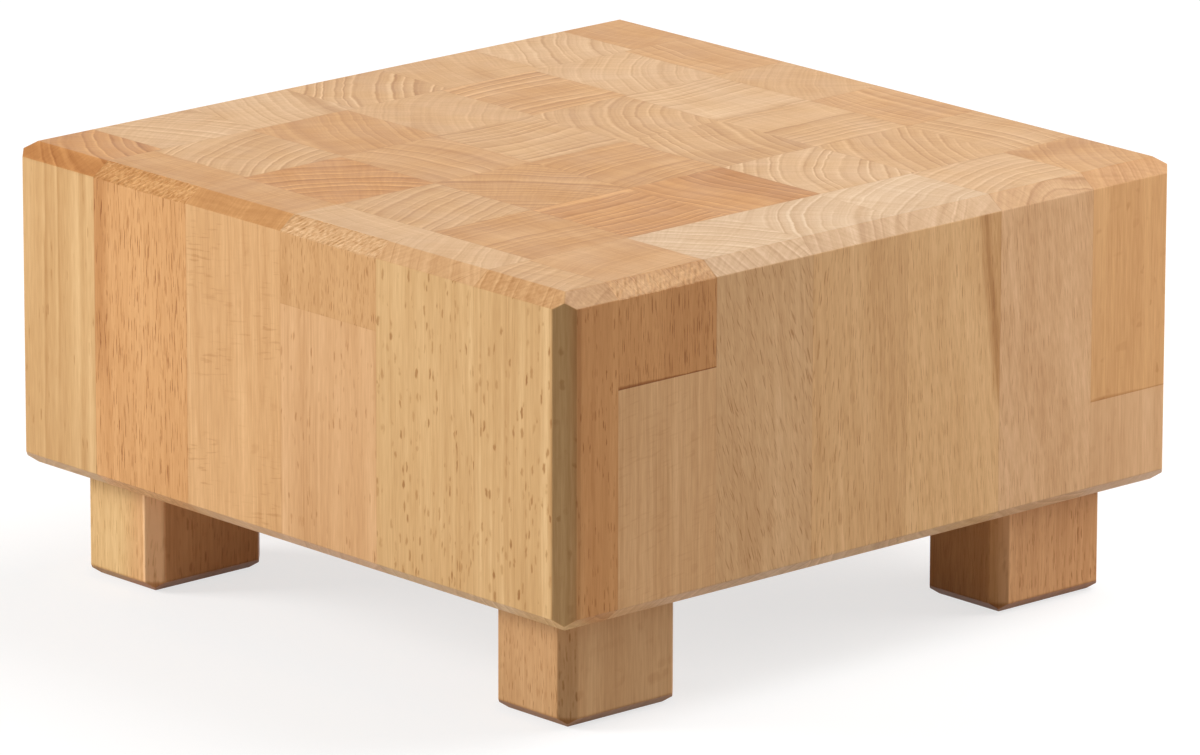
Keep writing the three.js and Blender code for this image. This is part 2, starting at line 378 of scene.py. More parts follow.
class NodeDesk:
    """Writes a node tree in short steps, each of which returns the socket that carries its result.

    Attributes:
        tree: The tree to write into.
    """

    def __init__(self, tree: bpy.types.NodeTree) -> None:
        """Takes the tree to write into."""
        self.tree = tree

    def node(
        self, kind: str, *sources: Source, fed: dict[str, Source] | None = None, **settings: object
    ) -> bpy.types.Node:
        """Adds a node.

        Args:
            kind: Blender's name of the node type.
            sources: Values for the node's first inputs, in their order.
            fed: Values for inputs by their names.
            settings: Properties to set on the node.

        Returns:
            The new node.
        """
        made = self.tree.nodes.new(kind)
        for name, value in settings.items():
            setattr(made, name, value)
        for socket, source in zip(made.inputs, sources):
            self.feed(socket, source)
        for name, source in (fed or {}).items():
            self.feed(made.inputs[name], source)
        return made

    def feed(self, socket: Socket, source: Source) -> None:
        """Links a source to an input, or sets the input where the source is a plain value.

        Args:
            socket: The input.
            source: A socket or a plain value.
        """
        if isinstance(source, Socket):
            self.tree.links.new(source, socket)
        else:
            socket.default_value = source

    def math(self, operation: str, *sources: Source) -> Socket:
        """Adds a math step, with one value for each input that the operation uses."""
        return self.node("ShaderNodeMath", *sources, operation=operation).outputs[0]

    def vector(self, operation: str, *sources: Source) -> Socket:
        """Adds a vector math step, whose result is a number for a length or a dot product."""
        made = self.node("ShaderNodeVectorMath", *sources, operation=operation)
        return made.outputs["Value" if operation in ("LENGTH", "DOT_PRODUCT") else "Vector"]

    def scaled(self, source: Source, factor: Source) -> Socket:
        """Multiplies a vector by a number."""
        fed = {"Vector": source, "Scale": factor}
        return self.node("ShaderNodeVectorMath", fed=fed, operation="SCALE").outputs["Vector"]

    def parts(self, source: Source) -> tuple[Socket, ...]:
        """Splits a vector into its three numbers."""
        return tuple(self.node("ShaderNodeSeparateXYZ", source).outputs)

    def joined(self, x: Source, y: Source, z: Source) -> Socket:
        """Makes a vector of three numbers."""
        return self.node("ShaderNodeCombineXYZ", x, y, z).outputs[0]

    def total(self, *sources: Source) -> Source:
        """Adds up any number of values."""
        return reduce(lambda result, source: self.math("ADD", result, source), sources)

    def product(self, *sources: Source) -> Source:
        """Multiplies any number of values."""
        return reduce(lambda result, source: self.math("MULTIPLY", result, source), sources)

    def rest(self, source: Source) -> Socket:
        """Gives what a share leaves of one."""
        return self.math("SUBTRACT", 1.0, source)

    def clamped(self, source: Source, low: float, high: float) -> Socket:
        """Keeps a value between two limits."""
        return self.math("MINIMUM", self.math("MAXIMUM", source, low), high)

    def between(self, factor: Source, first: Source, second: Source) -> Socket:
        """Goes from one number to another as the factor goes from 0 to 1."""
        return self.math("MULTIPLY_ADD", factor, self.math("SUBTRACT", second, first), first)

    def ramp(
        self, source: Source, start: Source, end: Source, low: float = 0.0, high: float = 1.0
    ) -> Socket:
        """Goes smoothly from one level to another as a value passes from start to end.

        Args:
            source: The value.
            start: Where the low level ends.
            end: Where the high level begins, which may be below start.
            low: Level before start.
            high: Level after end.

        Returns:
            The level.
        """
        limits = (source, start, end, low, high)
        return self.node("ShaderNodeMapRange", *limits, interpolation_type="SMOOTHSTEP").outputs[0]

    def noise(self, place: Source, detail: float = 2.0) -> Socket:
        """Adds soft noise about zero, with one wave to each unit of place.

        Args:
            place: The point to look up.
            detail: Number of finer layers.

        Returns:
            The noise, in a range of about one.
        """
        fed = {"Vector": place, "Scale": 1.0, "Detail": detail}
        made = self.node("ShaderNodeTexNoise", fed=fed, noise_dimensions="3D")
        return self.math("SUBTRACT", made.outputs["Fac"], 0.5)

    def line_noise(self, place: Source) -> Socket:
        """Adds soft noise about zero along one number, with one wave to each unit.

        Args:
            place: The number to look up.

        Returns:
            The noise, in a range of about one.
        """
        fed = {"W": place, "Scale": 1.0, "Detail": 1.0}
        made = self.node("ShaderNodeTexNoise", fed=fed, noise_dimensions="1D")
        return self.math("SUBTRACT", made.outputs["Fac"], 0.5)

    def sway(self, place: Source) -> Socket:
        """Adds three soft noises about zero at once, with one wave to each unit of place.

        Args:
            place: The point to look up.

        Returns:
            The noises as a vector.
        """
        fed = {"Vector": place, "Scale": 1.0, "Detail": 1.0}
        made = self.node("ShaderNodeTexNoise", fed=fed, noise_dimensions="3D")
        return self.vector("SUBTRACT", made.outputs["Color"], (0.5, 0.5, 0.5))

    def attribute(self, name: str) -> Socket:
        """Reads a vector that is stored on the piece."""
        return self.node("ShaderNodeAttribute", attribute_name=name).outputs["Vector"]

    def mixed(self, factor: Source, first: Source, second: Source) -> Socket:
        """Mixes two colours.

        Args:
            factor: Share of the second colour.
            first: The first colour.
            second: The second colour.

        Returns:
            The mixed colour.
        """
        made = self.node("ShaderNodeMix", fed={"Factor": factor}, data_type="RGBA")
        colours = [socket for socket in made.inputs if socket.type == "RGBA"]
        self.feed(colours[0], first)
        self.feed(colours[1], second)
        return next(socket for socket in made.outputs if socket.type == "RGBA")


@dataclass(frozen=True)
class RingBend:
    """Soft noise that bends the rings of a trunk.

    Attributes:
        waves: Waves to each mm along X, Y and Z.
        reach_mm: Range of the bend.
    """

    waves: Triple
    reach_mm: float


RING_BENDS = (
    RingBend((0.02, 0.02, 0.004), 9.0),
    RingBend((0.1, 0.1, 0.012), 1.8),
    RingBend((0.3, 0.3, 0.05), 0.7),
)
# How far apart two pieces of wood may lie in the noise
SEED_SHIFT = (13.7, 7.1, 3.3)
# Height where a leaning grain crosses its upright line
LEAN_PIVOT_MM = 100.0


@dataclass(frozen=True)
class Grain:
    """Sockets that say where a point lies in the trunk, in millimetres, and how its face is turned.

    Attributes:
        place: The point in the frame.
        leaned: The point after the lean of the grain is taken out.
        radius: Distance from the heart.
        around: Distance along the ring.
        up: Height.
        seed: A number of the piece's own.
        end: 1 on end grain and 0 on long grain.
        slope: 1 on end grain that slopes, as on a chamfer.
        under: 1 on faces that look down.
        facing: 1 on a face along the rings and 0 on one across them.
    """

    place: Socket
    leaned: Socket
    radius: Socket
    around: Socket
    up: Socket
    seed: Socket
    end: Socket
    slope: Socket
    under: Socket
    facing: Socket

    @classmethod
    def read(cls, desk: NodeDesk) -> "Grain":
        """Finds where a point lies in the trunk and how its face is turned.

        Args:
            desk: Desk on the material's tree.

        Returns:
            The sockets.
        """
        heart = desk.attribute("heart")
        seed = desk.parts(heart)[2]
        turn, reach, lean = desk.parts(desk.attribute("turn"))
        place = desk.scaled(desk.node("ShaderNodeTexCoord").outputs["Object"], 1.0 / MM)
        up = desk.parts(place)[2]
        shift = desk.scaled(SEED_SHIFT, seed)
        drift: Source = (0.0, 0.0, 0.0)
        for bend in RING_BENDS:
            spot = desk.vector("ADD", desk.vector("MULTIPLY", place, bend.waves), shift)
            drift = desk.vector("ADD", drift, desk.scaled(desk.sway(spot), bend.reach_mm))
        slant = desk.product(lean, desk.math("SUBTRACT", up, LEAN_PIVOT_MM))
        leaned = desk.vector("ADD", place, desk.joined(slant, slant, 0.0))
        away = desk.vector("ADD", desk.vector("SUBTRACT", leaned, heart), drift)
        away = desk.vector("MULTIPLY", away, (1.0, 1.0, 0.0))
        turned = desk.node(
            "ShaderNodeVectorRotate",
            fed={"Vector": away, "Angle": desk.product(turn, -1.0)},
            rotation_type="Z_AXIS",
        )
        ahead, beside, _ = desk.parts(turned.outputs[0])
        normal = desk.node("ShaderNodeNewGeometry").outputs["Normal"]
        rise = desk.parts(normal)[2]
        steepness = desk.math("ABSOLUTE", rise)
        radial = desk.vector("NORMALIZE", away)
        return cls(
            place=place,
            leaned=leaned,
            radius=desk.vector("LENGTH", away),
            around=desk.product(desk.math("ARCTAN2", beside, ahead), reach),
            up=up,
            seed=seed,
            end=desk.ramp(steepness, start=0.35, end=0.75),
            slope=desk.ramp(steepness, start=0.98, end=0.9),
            under=desk.ramp(rise, start=-0.2, end=-0.6),
            facing=desk.math("ABSOLUTE", desk.vector("DOT_PRODUCT", normal, radial)),
        )

    def own(self, desk: NodeDesk, spread: float) -> Source:
        """Gives a number of the piece's own up to spread, so that pieces don't repeat each other."""
        return desk.product(self.seed, spread)

    def spot(self, desk: NodeDesk, waves: Triple, spread: float) -> Socket:
        """Gives a point of the trunk to look noise up at.

        Args:
            desk: Desk on the material's tree.
            waves: Waves to each mm outwards, along the ring and upwards.
            spread: How far apart two pieces may lie in the noise.

        Returns:
            The point.
        """
        outwards, along_ring, upwards = waves
        return desk.joined(
            desk.product(self.radius, outwards),
            desk.product(self.around, along_ring),
            desk.math("MULTIPLY_ADD", self.up, upwards, self.own(desk, spread)),
        )


@dataclass(frozen=True)
class GrowthRings:
    """Growth rings, each of which starts with a pale line and darkens outwards to a thin dark one.

    Attributes:
        width_waves: Waves to each mm of radius in the width of the rings.
        width_reach: How far these waves move a ring, in rings.
        least: Strength of the faintest ring.
        spread: How much stronger the boldest ring is.
        patch_waves: Waves outwards, along the ring and upwards of the patches where a ring fades.
        patch: How much a ring fades or gains in them.
        dusk: Depth that a ring gains slowly outwards.
        line: Depth of the thin line where it ends.
        pale: Depth of the pale line where it starts.
        fine_waves: Fine lines to each mm of radius.
        fine_end: Depth of the fine lines on end grain.
        fine_side: Depth of the fine lines on long grain that is cut across the rings.
        in_pale: Share of the rings that shows inside a pale streak.
    """

    width_waves: float = 0.06
    width_reach: float = 2.2
    least: float = 0.5
    spread: float = 0.8
    patch_waves: Triple = (0.16, 0.06, 0.012)
    patch: float = 2.0
    dusk: float = 0.1
    line: float = 0.17
    pale: float = -0.16
    fine_waves: float = 0.9
    fine_end: float = 0.2
    fine_side: float = 0.16
    in_pale: float = 0.3

    def draw(self, desk: NodeDesk, grain: Grain, streaks: Socket) -> Source:
        """Draws the rings.

        Args:
            desk: Desk on the material's tree.
            grain: Where a point lies in the trunk.
            streaks: Depth of the piece's streaks, in whose pale parts the rings fade.

        Returns:
            The depth of stain.
        """
        pitch, boldness, _ = desk.parts(desk.attribute("growth"))
        bands = desk.parts(desk.attribute("marks"))[2]
        widths = desk.total(desk.product(grain.radius, self.width_waves), grain.own(desk, 5.3))
        moved = desk.product(desk.line_noise(widths), self.width_reach)
        phase = desk.total(desk.math("DIVIDE", grain.radius, pitch), moved, grain.seed)
        share = desk.math("FRACT", phase)
        dusk = desk.ramp(share, start=0.15, end=0.9, high=self.dusk)
        line = desk.ramp(share, start=0.72, end=0.88, high=self.line)
        dark = desk.product(
            desk.total(dusk, line), desk.ramp(share, start=0.93, end=1.0, low=1.0, high=0.0)
        )
        pale = desk.product(
            desk.ramp(share, start=0.0, end=0.05),
            desk.ramp(share, start=0.1, end=0.3, low=self.pale, high=0.0),
        )
        drawn = desk.product(
            desk.total(dark, pale),
            self._strength(desk, grain, phase),
            boldness,
            desk.between(grain.end, bands, 1.0),
        )
        fine = desk.line_noise(
            desk.total(desk.product(grain.radius, self.fine_waves), grain.own(desk, 90.0))
        )
        on_side = desk.product(
            desk.ramp(grain.facing, start=0.7, end=0.95, low=self.fine_side, high=0.0),
            desk.ramp(bands, start=0.0, end=0.2),
        )
        lined = desk.product(fine, desk.between(grain.end, on_side, self.fine_end))
        left = desk.ramp(streaks, start=-0.08, end=-0.01, low=self.in_pale)
        # A chamfer keeps its rings, however pale it is
        return desk.product(desk.total(drawn, lined), desk.between(grain.slope, left, 1.0))

    def _strength(self, desk: NodeDesk, grain: Grain, phase: Source) -> Source:
        """Gives each ring a strength of its own, which fades and gains in patches.

        Args:
            desk: Desk on the material's tree.
            grain: Where a point lies in the trunk.
            phase: Number of the ring, and how far out in it the point lies.

        Returns:
            The strength.
        """
        # Whole numbers, so that one ring has one strength all round
        first = desk.math("ROUND", grain.own(desk, 1000.0))
        number = desk.math("ADD", desk.math("FLOOR", phase), first)
        each = desk.node("ShaderNodeTexWhiteNoise", fed={"W": number}, noise_dimensions="1D")
        strength = desk.math("MULTIPLY_ADD", each.outputs["Value"], self.spread, self.least)
        patches = desk.noise(grain.spot(desk, self.patch_waves, 23.0))
        return desk.total(strength, desk.product(patches, self.patch))


@dataclass(frozen=True)
class RayFlecks:
    """Rays that show as short upright flecks on a face along the rings, and faintly on end grain.

    Attributes:
        tilt: How much a ray drops for each step outwards.
        reach_mm: Length of a ray towards the heart.
        bend_waves: Waves to each mm upwards in the bends of a fleck.
        bend: Range of the bends, in fields.
        rim: Where a fleck begins, as a distance from the middle of its field.
        full: Where it is darkest.
        least: Depth of the faintest fleck.
        spread: How much deeper the darkest fleck is.
        on_edge: Share that shows on a face across the rings.
        on_top: Share that shows on level end grain.
        on_chamfer: Share that shows on a chamfer.
    """

    tilt: float = 0.12
    reach_mm: float = 30.0
    bend_waves: float = 0.35
    bend: float = 0.6
    rim: float = 0.44
    full: float = 0.16
    least: float = 0.25
    spread: float = 0.85
    on_edge: float = 0.2
    on_top: float = 0.1
    on_chamfer: float = 0.3

    def draw(self, desk: NodeDesk, grain: Grain) -> Source:
        """Draws the flecks.

        Args:
            desk: Desk on the material's tree.
            grain: Where a point lies in the trunk.

        Returns:
            The depth of stain.
        """
        share, width, height = desk.parts(desk.attribute("figure"))
        strength = desk.parts(desk.attribute("marks"))[0]
        level = desk.total(grain.up, desk.product(grain.radius, self.tilt))
        bends = desk.sway(
            desk.joined(grain.around, desk.product(level, self.bend_waves), grain.own(desk, 50.0))
        )
        place = desk.joined(
            desk.total(desk.math("DIVIDE", grain.around, width), grain.own(desk, 31.0)),
            desk.math("DIVIDE", level, height),
            desk.product(grain.radius, 1.0 / self.reach_mm),
        )
        bent = desk.vector("ADD", place, desk.scaled(bends, self.bend))
        fields = desk.node(
            "ShaderNodeTexVoronoi",
            fed={"Vector": bent, "Scale": 1.0},
            voronoi_dimensions="3D",
            feature="F1",
        )
        body = desk.ramp(fields.outputs["Distance"], start=self.rim, end=self.full)
        lot, tint, _ = desk.parts(fields.outputs["Color"])
        chosen = desk.math("LESS_THAN", lot, share)
        depth = desk.math("MULTIPLY_ADD", desk.product(tint, tint), self.spread, self.least)
        on_side = desk.ramp(grain.facing, start=0.05, end=0.4, low=self.on_edge)
        on_end = desk.between(grain.slope, self.on_top, self.on_chamfer)
        return desk.product(body, chosen, depth, strength, desk.between(grain.end, on_side, on_end))


@dataclass(frozen=True)
class RayStrokes:
    """Level strokes, in groups, where rays are cut along their length.

    Attributes:
        tilt: How much a stroke drops for each step outwards.
        along_waves: Waves to each mm along the ring.
        up_waves: Waves to each mm upwards.
        out_waves: Waves to each mm outwards.
        group_waves: Waves to each mm in the groups.
    """

    tilt: float = 0.15
    along_waves: float = 0.25
    up_waves: float = 0.85
    out_waves: float = 0.12
    group_waves: float = 0.05

    def draw(self, desk: NodeDesk, grain: Grain) -> Source:
        """Draws the strokes.

        Args:
            desk: Desk on the material's tree.
            grain: Where a point lies in the trunk.

        Returns:
            The depth of stain.
        """
        strength = desk.parts(desk.attribute("marks"))[1]
        level = desk.total(grain.up, desk.product(grain.radius, self.tilt))
        place = desk.joined(
            desk.product(grain.around, self.along_waves),
            desk.product(level, self.up_waves),
            desk.math("MULTIPLY_ADD", grain.radius, self.out_waves, grain.seed),
        )
        drawn = desk.ramp(desk.noise(place, detail=1.0), start=0.06, end=0.22)
        groups = desk.noise(desk.scaled(grain.place, self.group_waves), detail=1.0)
        grouped = desk.ramp(groups, start=-0.16, end=0.1)
        across = desk.product(desk.ramp(grain.facing, start=0.75, end=0.3), desk.rest(grain.end))
        return desk.product(drawn, across, grouped, strength)


@dataclass(frozen=True)
class Fibres:
    """Fibres that run up the trunk, which are pores and ray lines on end grain, torn on a rough chamfer.

    Attributes:
        depth: Depth of the fibres.
        fine_waves: Waves of fine fibres to each mm along X, Y and Z.
        broad_waves: Waves of broad fibres to each mm along X, Y and Z.
        broad: Strength of the broad fibres.
        pores: Strength of the pores.
        line_waves: Ray lines to each mm along the ring on end grain.
        line_out_waves: Waves to each mm outwards in a ray line.
        lines: Strength of the ray lines.
        tear_waves: Waves of torn grain to each mm.
        tear: Strength of torn grain.
    """

    depth: float = 0.41
    fine_waves: Triple = (1.4, 1.4, 0.09)
    broad_waves: Triple = (0.35, 0.35, 0.014)
    broad: float = 0.8
    pores: float = 0.5
    line_waves: float = 0.8
    line_out_waves: float = 0.03
    lines: float = 0.8
    tear_waves: float = 0.6
    tear: float = 2.6

    def draw(self, desk: NodeDesk, grain: Grain) -> Source:
        """Draws the fibres.

        Args:
            desk: Desk on the material's tree.
            grain: Where a point lies in the trunk.

        Returns:
            The fibres about zero, before their depth.
        """
        fine = desk.noise(desk.vector("MULTIPLY", grain.leaned, self.fine_waves), detail=3.0)
        broad = desk.noise(desk.vector("MULTIPLY", grain.leaned, self.broad_waves))
        on_side = desk.total(fine, desk.product(broad, self.broad))
        lines = desk.noise(
            desk.joined(
                desk.product(grain.around, self.line_waves),
                desk.product(grain.radius, self.line_out_waves),
                grain.seed,
            )
        )
        torn = desk.parts(desk.attribute("core"))[1]
        tears = desk.noise(desk.scaled(grain.place, self.tear_waves))
        on_end = desk.total(
            desk.product(fine, self.pores),
            desk.product(lines, self.lines),
            desk.product(tears, grain.slope, torn, self.tear),
        )
        return desk.between(grain.end, on_side, on_end)


@dataclass(frozen=True)
class ToneDrift:
    """Slow drift of the tone through a piece, quicker across the rings than along them.

    Attributes:
        waves: Waves to each mm outwards, along the ring and upwards.
        depth: Depth of the drift.
    """

    waves: Triple = (0.07, 0.022, 0.006)
    depth: float = 0.4

    def draw(self, desk: NodeDesk, grain: Grain) -> Source:
        """Gives the depth of stain that the drift adds at a point."""
        return desk.product(desk.noise(grain.spot(desk, self.waves, 40.0)), self.depth)


@dataclass(frozen=True)
class StreakBands:
    """The straight darker or paler bands that a piece may have: wood of another tone, and painted light
    and shade.

    Attributes:
        wander_waves: Waves to each mm along X, Y and Z in the line of a band.
        core: Share of a band's width that has its full depth.
        edge_mm: Half width of the edge of the stain beyond a band.
        fade: Share of a band's height in which it dies out.
        stain_fade: Share of the height in which the stain beyond it dies out.
    """

    wander_waves: Triple = (0.09, 0.09, 0.03)
    core: float = 0.2
    edge_mm: float = 0.4
    fade: float = 0.35
    stain_fade: float = 0.12

    def draw(self, desk: NodeDesk, grain: Grain) -> Source:
        """Gives the depth of stain of all the bands at a point."""
        return desk.total(*(self._band(desk, grain, number) for number in range(MAX_STREAKS)))

    def _band(self, desk: NodeDesk, grain: Grain, number: int) -> Source:
        """Draws one band, with soft edges that wander a little, which dies out downwards.

        Args:
            desk: Desk on the material's tree.
            grain: Where a point lies in the trunk.
            number: Number of the band on the piece.

        Returns:
            The depth of stain.
        """
        east, north, offset = desk.parts(desk.attribute(f"line_{number}"))
        half_width, depth, on_end = desk.parts(desk.attribute(f"band_{number}"))
        foot, drift, fill = desk.parts(desk.attribute(f"wedge_{number}"))
        above_foot = desk.math("SUBTRACT", grain.up, foot)
        rise = desk.math("DIVIDE", above_foot, desk.math("SUBTRACT", TOP_MM, foot))
        rise = desk.clamped(rise, 0.0, 1.0)
        wander = desk.noise(desk.vector("MULTIPLY", grain.place, self.wander_waves))
        moved = desk.total(offset, desk.product(drift, desk.rest(rise)))
        middle = desk.total(moved, desk.product(wander, half_width))
        along = desk.vector("DOT_PRODUCT", grain.place, desk.joined(east, north, 0.0))
        gap = desk.math("SUBTRACT", along, middle)
        full_width = desk.product(half_width, self.core)
        band = desk.product(
            desk.ramp(desk.math("ABSOLUTE", gap), start=half_width, end=full_width),
            depth,
            desk.ramp(rise, start=0.0, end=self.fade),
        )
        stained = desk.product(
            desk.ramp(gap, start=-self.edge_mm, end=self.edge_mm),
            fill,
            desk.ramp(rise, start=0.0, end=self.stain_fade),
        )
        return desk.product(desk.total(band, stained), desk.between(grain.end, 1.0, on_end))


@dataclass(frozen=True)
class GlueLines:
    """Thin patchy glue lines beside a neighbour, and a wider one where two pieces are joined end to end.

    Attributes:
        waves: Patches of glue to each mm.
        thin_mm: Half width of a line beside a neighbour.
        thin_full_mm: Half width of its darkest part.
        thin_depth: Middle depth of it.
        thin_patch: Range of its depth from patch to patch.
        joint_front_mm: Half width of the line of a joint at the front end of a stave.
        joint_back_mm: Half width of it further back.
        joint_from_mm: Distance from the front seam where it begins to get narrower.
        joint_to_mm: Distance from the front seam where it has its width further back.
        joint_patch_mm: Range of the width from patch to patch.
        joint_least_mm: Least half width of it.
        joint_full: Share of it that is darkest.
    """

    waves: float = 0.1
    thin_mm: float = 0.35
    thin_full_mm: float = 0.1
    thin_depth: float = 0.1
    thin_patch: float = 0.4
    joint_front_mm: float = 1.6
    joint_back_mm: float = 0.7
    joint_from_mm: float = 4.0
    joint_to_mm: float = 36.0
    joint_patch_mm: float = 2.2
    joint_least_mm: float = 0.3
    joint_full: float = 0.1

    def draw(self, desk: NodeDesk, grain: Grain) -> Source:
        """Draws the lines.

        Args:
            desk: Desk on the material's tree.
            grain: Where a point lies in the trunk.

        Returns:
            The depth of stain.
        """
        joint = desk.parts(desk.attribute("growth"))[2]
        past_low = desk.parts(desk.vector("SUBTRACT", grain.place, desk.attribute("seam_low")))
        past_high = desk.parts(desk.vector("SUBTRACT", desk.attribute("seam_high"), grain.place))
        in_x, in_y, in_z = (desk.math("MINIMUM", *pair) for pair in zip(past_low, past_high))
        patches = desk.noise(desk.scaled(grain.place, self.waves), detail=3.0)
        thin = desk.ramp(
            desk.math("MINIMUM", in_x, in_y), start=self.thin_mm, end=self.thin_full_mm
        )
        thin_depth = desk.math("MULTIPLY_ADD", patches, self.thin_patch, self.thin_depth)
        width = desk.ramp(
            past_low[1],
            start=self.joint_from_mm,
            end=self.joint_to_mm,
            low=self.joint_front_mm,
            high=self.joint_back_mm,
        )
        uneven = desk.math("MULTIPLY_ADD", patches, self.joint_patch_mm, width)
        edge = desk.math("MAXIMUM", uneven, self.joint_least_mm)
        wide = desk.ramp(in_z, start=edge, end=desk.product(edge, self.joint_full))
        return desk.total(desk.product(thin, thin_depth), desk.product(wide, joint))


@dataclass(frozen=True)
class Sheen:
    """How the surface shines, unevenly and less on end grain.

    Attributes:
        roughness: Middle roughness.
        specular: Level of the plain reflection.
        patch_waves: Patches to each mm.
        patch: Range of the roughness from patch to patch.
        on_end: What end grain adds to the roughness.
        in_fleck: What a fleck adds to the roughness.
    """

    roughness: float = 0.42
    specular: float = 0.18
    patch_waves: float = 0.06
    patch: float = 0.25
    on_end: float = 0.02
    in_fleck: float = -0.08

    def set(self, desk: NodeDesk, shader: bpy.types.Node, grain: Grain, flecks: Source) -> None:
        """Sets the shader's roughness and reflection.

        Args:
            desk: Desk on the material's tree.
            shader: The shader.
            grain: Where a point lies in the trunk.
            flecks: Depth of the ray flecks.
        """
        patches = desk.noise(desk.scaled(grain.place, self.patch_waves), detail=3.0)
        roughness = desk.total(
            self.roughness,
            desk.product(patches, self.patch),
            desk.product(grain.end, self.on_end),
            desk.product(flecks, self.in_fleck),
        )
        desk.feed(shader.inputs["Roughness"], roughness)
        shader.inputs["Specular IOR Level"].default_value = self.specular


@dataclass(frozen=True)
class Relief:
    """Grain that can be felt.

    Attributes:
        height_mm: Height of the grain.
        strength: Strength of the bump.
        ring: What a dark ring adds to the height.
        fleck: What a fleck adds to the height.
        fibre: What a dark fibre adds to the height.
    """

    height_mm: float = 0.05
    strength: float = 0.5
    ring: float = 0.8
    fleck: float = -0.1
    fibre: float = -0.3

    def set(
        self, desk: NodeDesk, shader: bpy.types.Node, rings: Source, flecks: Source, fibres: Source
    ) -> None:
        """Sets the shader's bump.

        Args:
            desk: Desk on the material's tree.
            shader: The shader.
            rings: Depth of the rings.
            flecks: Depth of the ray flecks.
            fibres: The fibres about zero.
        """
        height = desk.total(
            desk.product(rings, self.ring),
            desk.product(flecks, self.fleck),
            desk.product(fibres, self.fibre),
        )
        bump = desk.node(
            "ShaderNodeBump",
            fed={"Strength": self.strength, "Distance": self.height_mm * MM, "Height": height},
        )
        desk.feed(shader.inputs["Normal"], bump.outputs[0])


@dataclass(frozen=True)
class BeechFinish:
    """Beech with an oiled or bare surface, as one procedural material.

    Depth is how much stain the light passes through: at 0 a face has its own tone, at 1 it is a dark
    brown, and below 0 it is paler than its tone.

    Attributes:
        name: Name of the material.
        sheen: How the surface shines.
        sole_shade_and_grime: Depth round the sole, close to the floor, of painted contact shade together
            with dirt.
        sole_shade_top_mm: Height where the painted shade and dirt begin.
        sole_shade_full_mm: Height where it is darkest.
        rings: The growth rings.
        flecks: The ray flecks.
        strokes: The level strokes of rays.
        fibres: The fibres.
        drift: The slow drift of tone.
        bands: The straight streaks.
        glue: The glue lines.
        relief: The grain that can be felt.
        stain: What a depth of 1 leaves of red, green and blue light.
        oil: What the oil leaves of red, green and blue light on the sawn end grain of a chamfer.
        core_edge_mm: Half width of the edge of a core: a red heart, and on a foot painted shade.
        palest: Least depth.
        darkest: Greatest depth.
    """

    name: str
    sheen: Sheen = Sheen()
    sole_shade_and_grime: float = 0.0
    sole_shade_top_mm: float = 5.0
    sole_shade_full_mm: float = 3.0
    rings: GrowthRings = GrowthRings()
    flecks: RayFlecks = RayFlecks()
    strokes: RayStrokes = RayStrokes()
    fibres: Fibres = Fibres()
    drift: ToneDrift = ToneDrift()
    bands: StreakBands = StreakBands()
    glue: GlueLines = GlueLines()
    relief: Relief = Relief()
    stain: Triple = (0.47, 0.33, 0.21)
    oil: Triple = (1.015, 0.955, 0.89)
    core_edge_mm: float = 3.0
    palest: float = -0.45
    darkest: float = 1.3

    def material(self) -> bpy.types.Material:
        """Builds the material.

        Returns:
            The new material.
        """
        made = bpy.data.materials.new(self.name)
        made.use_nodes = True
        desk = NodeDesk(made.node_tree)
        shader = made.node_tree.nodes["Principled BSDF"]
        grain = Grain.read(desk)
        streaks = self.bands.draw(desk, grain)
        rings = self.rings.draw(desk, grain, streaks)
        flecks = self.flecks.draw(desk, grain)
        fibres = self.fibres.draw(desk, grain)
        depth = desk.total(
            rings,
            flecks,
            desk.product(fibres, self.fibres.depth),
            self.drift.draw(desk, grain),
            self.strokes.draw(desk, grain),
            streaks,
            self.glue.draw(desk, grain),
            # Painted contact shade together with dirt round the sole, close to the floor
            desk.ramp(grain.up, start=self.sole_shade_top_mm, end=self.sole_shade_full_mm, high=self.sole_shade_and_grime),
        )
        self._paint(desk, shader, grain, depth)
        self.sheen.set(desk, shader, grain, flecks)
        self.relief.set(desk, shader, rings, flecks, fibres)
        return made

    def _paint(self, desk: NodeDesk, shader: bpy.types.Node, grain: Grain, depth: Source) -> None:
        """Sets the colour: the piece's tone, seen through the stain.

        End grain that looks down drinks less oil, so it has the tone of the long grain.

        Args:
            desk: Desk on the material's tree.
            shader: The shader.
            grain: Where a point lies in the trunk.
            depth: Depth of stain.
        """
        # On the feet the core is painted shade on the faces that turn in under the block
        reach = desk.parts(desk.attribute("core"))[0]
        outside = desk.math("ADD", reach, self.core_edge_mm)
        inside = desk.math("SUBTRACT", reach, self.core_edge_mm)
        in_core = desk.ramp(grain.radius, start=outside, end=inside)
        long_grain = desk.mixed(in_core, desk.attribute("side_tone"), desk.attribute("core_tone"))
        end_tone = desk.attribute("end_tone")
        sawn = desk.vector("MULTIPLY", end_tone, self.oil)
        end_grain = desk.mixed(grain.slope, end_tone, sawn)
        soaked = desk.product(grain.end, desk.rest(grain.under))
        base = desk.mixed(soaked, long_grain, end_grain)
        kept = desk.clamped(depth, self.palest, self.darkest)
        through = desk.vector("POWER", self.stain, desk.joined(kept, kept, kept))
        desk.feed(shader.inputs["Base Color"], desk.vector("MULTIPLY", base, through))


OILED_END_GRAIN = BeechFinish("oiled_end_grain_beech")
# The feet have painted contact shade together with dirt round the sole
OILED_FOOT = BeechFinish("oiled_foot_beech", Sheen(roughness=0.5), sole_shade_and_grime=0.75)
BARE_DOWEL = BeechFinish("bare_dowel_beech", Sheen(roughness=0.72, specular=0.2))


@dataclass(frozen=True)
class Chamfer:
    """A flat cut along an edge.

    Attributes:
        run: Width of the cut on the level face.
        drop: Height of the cut on the upright face.
    """

    run: float
    drop: float


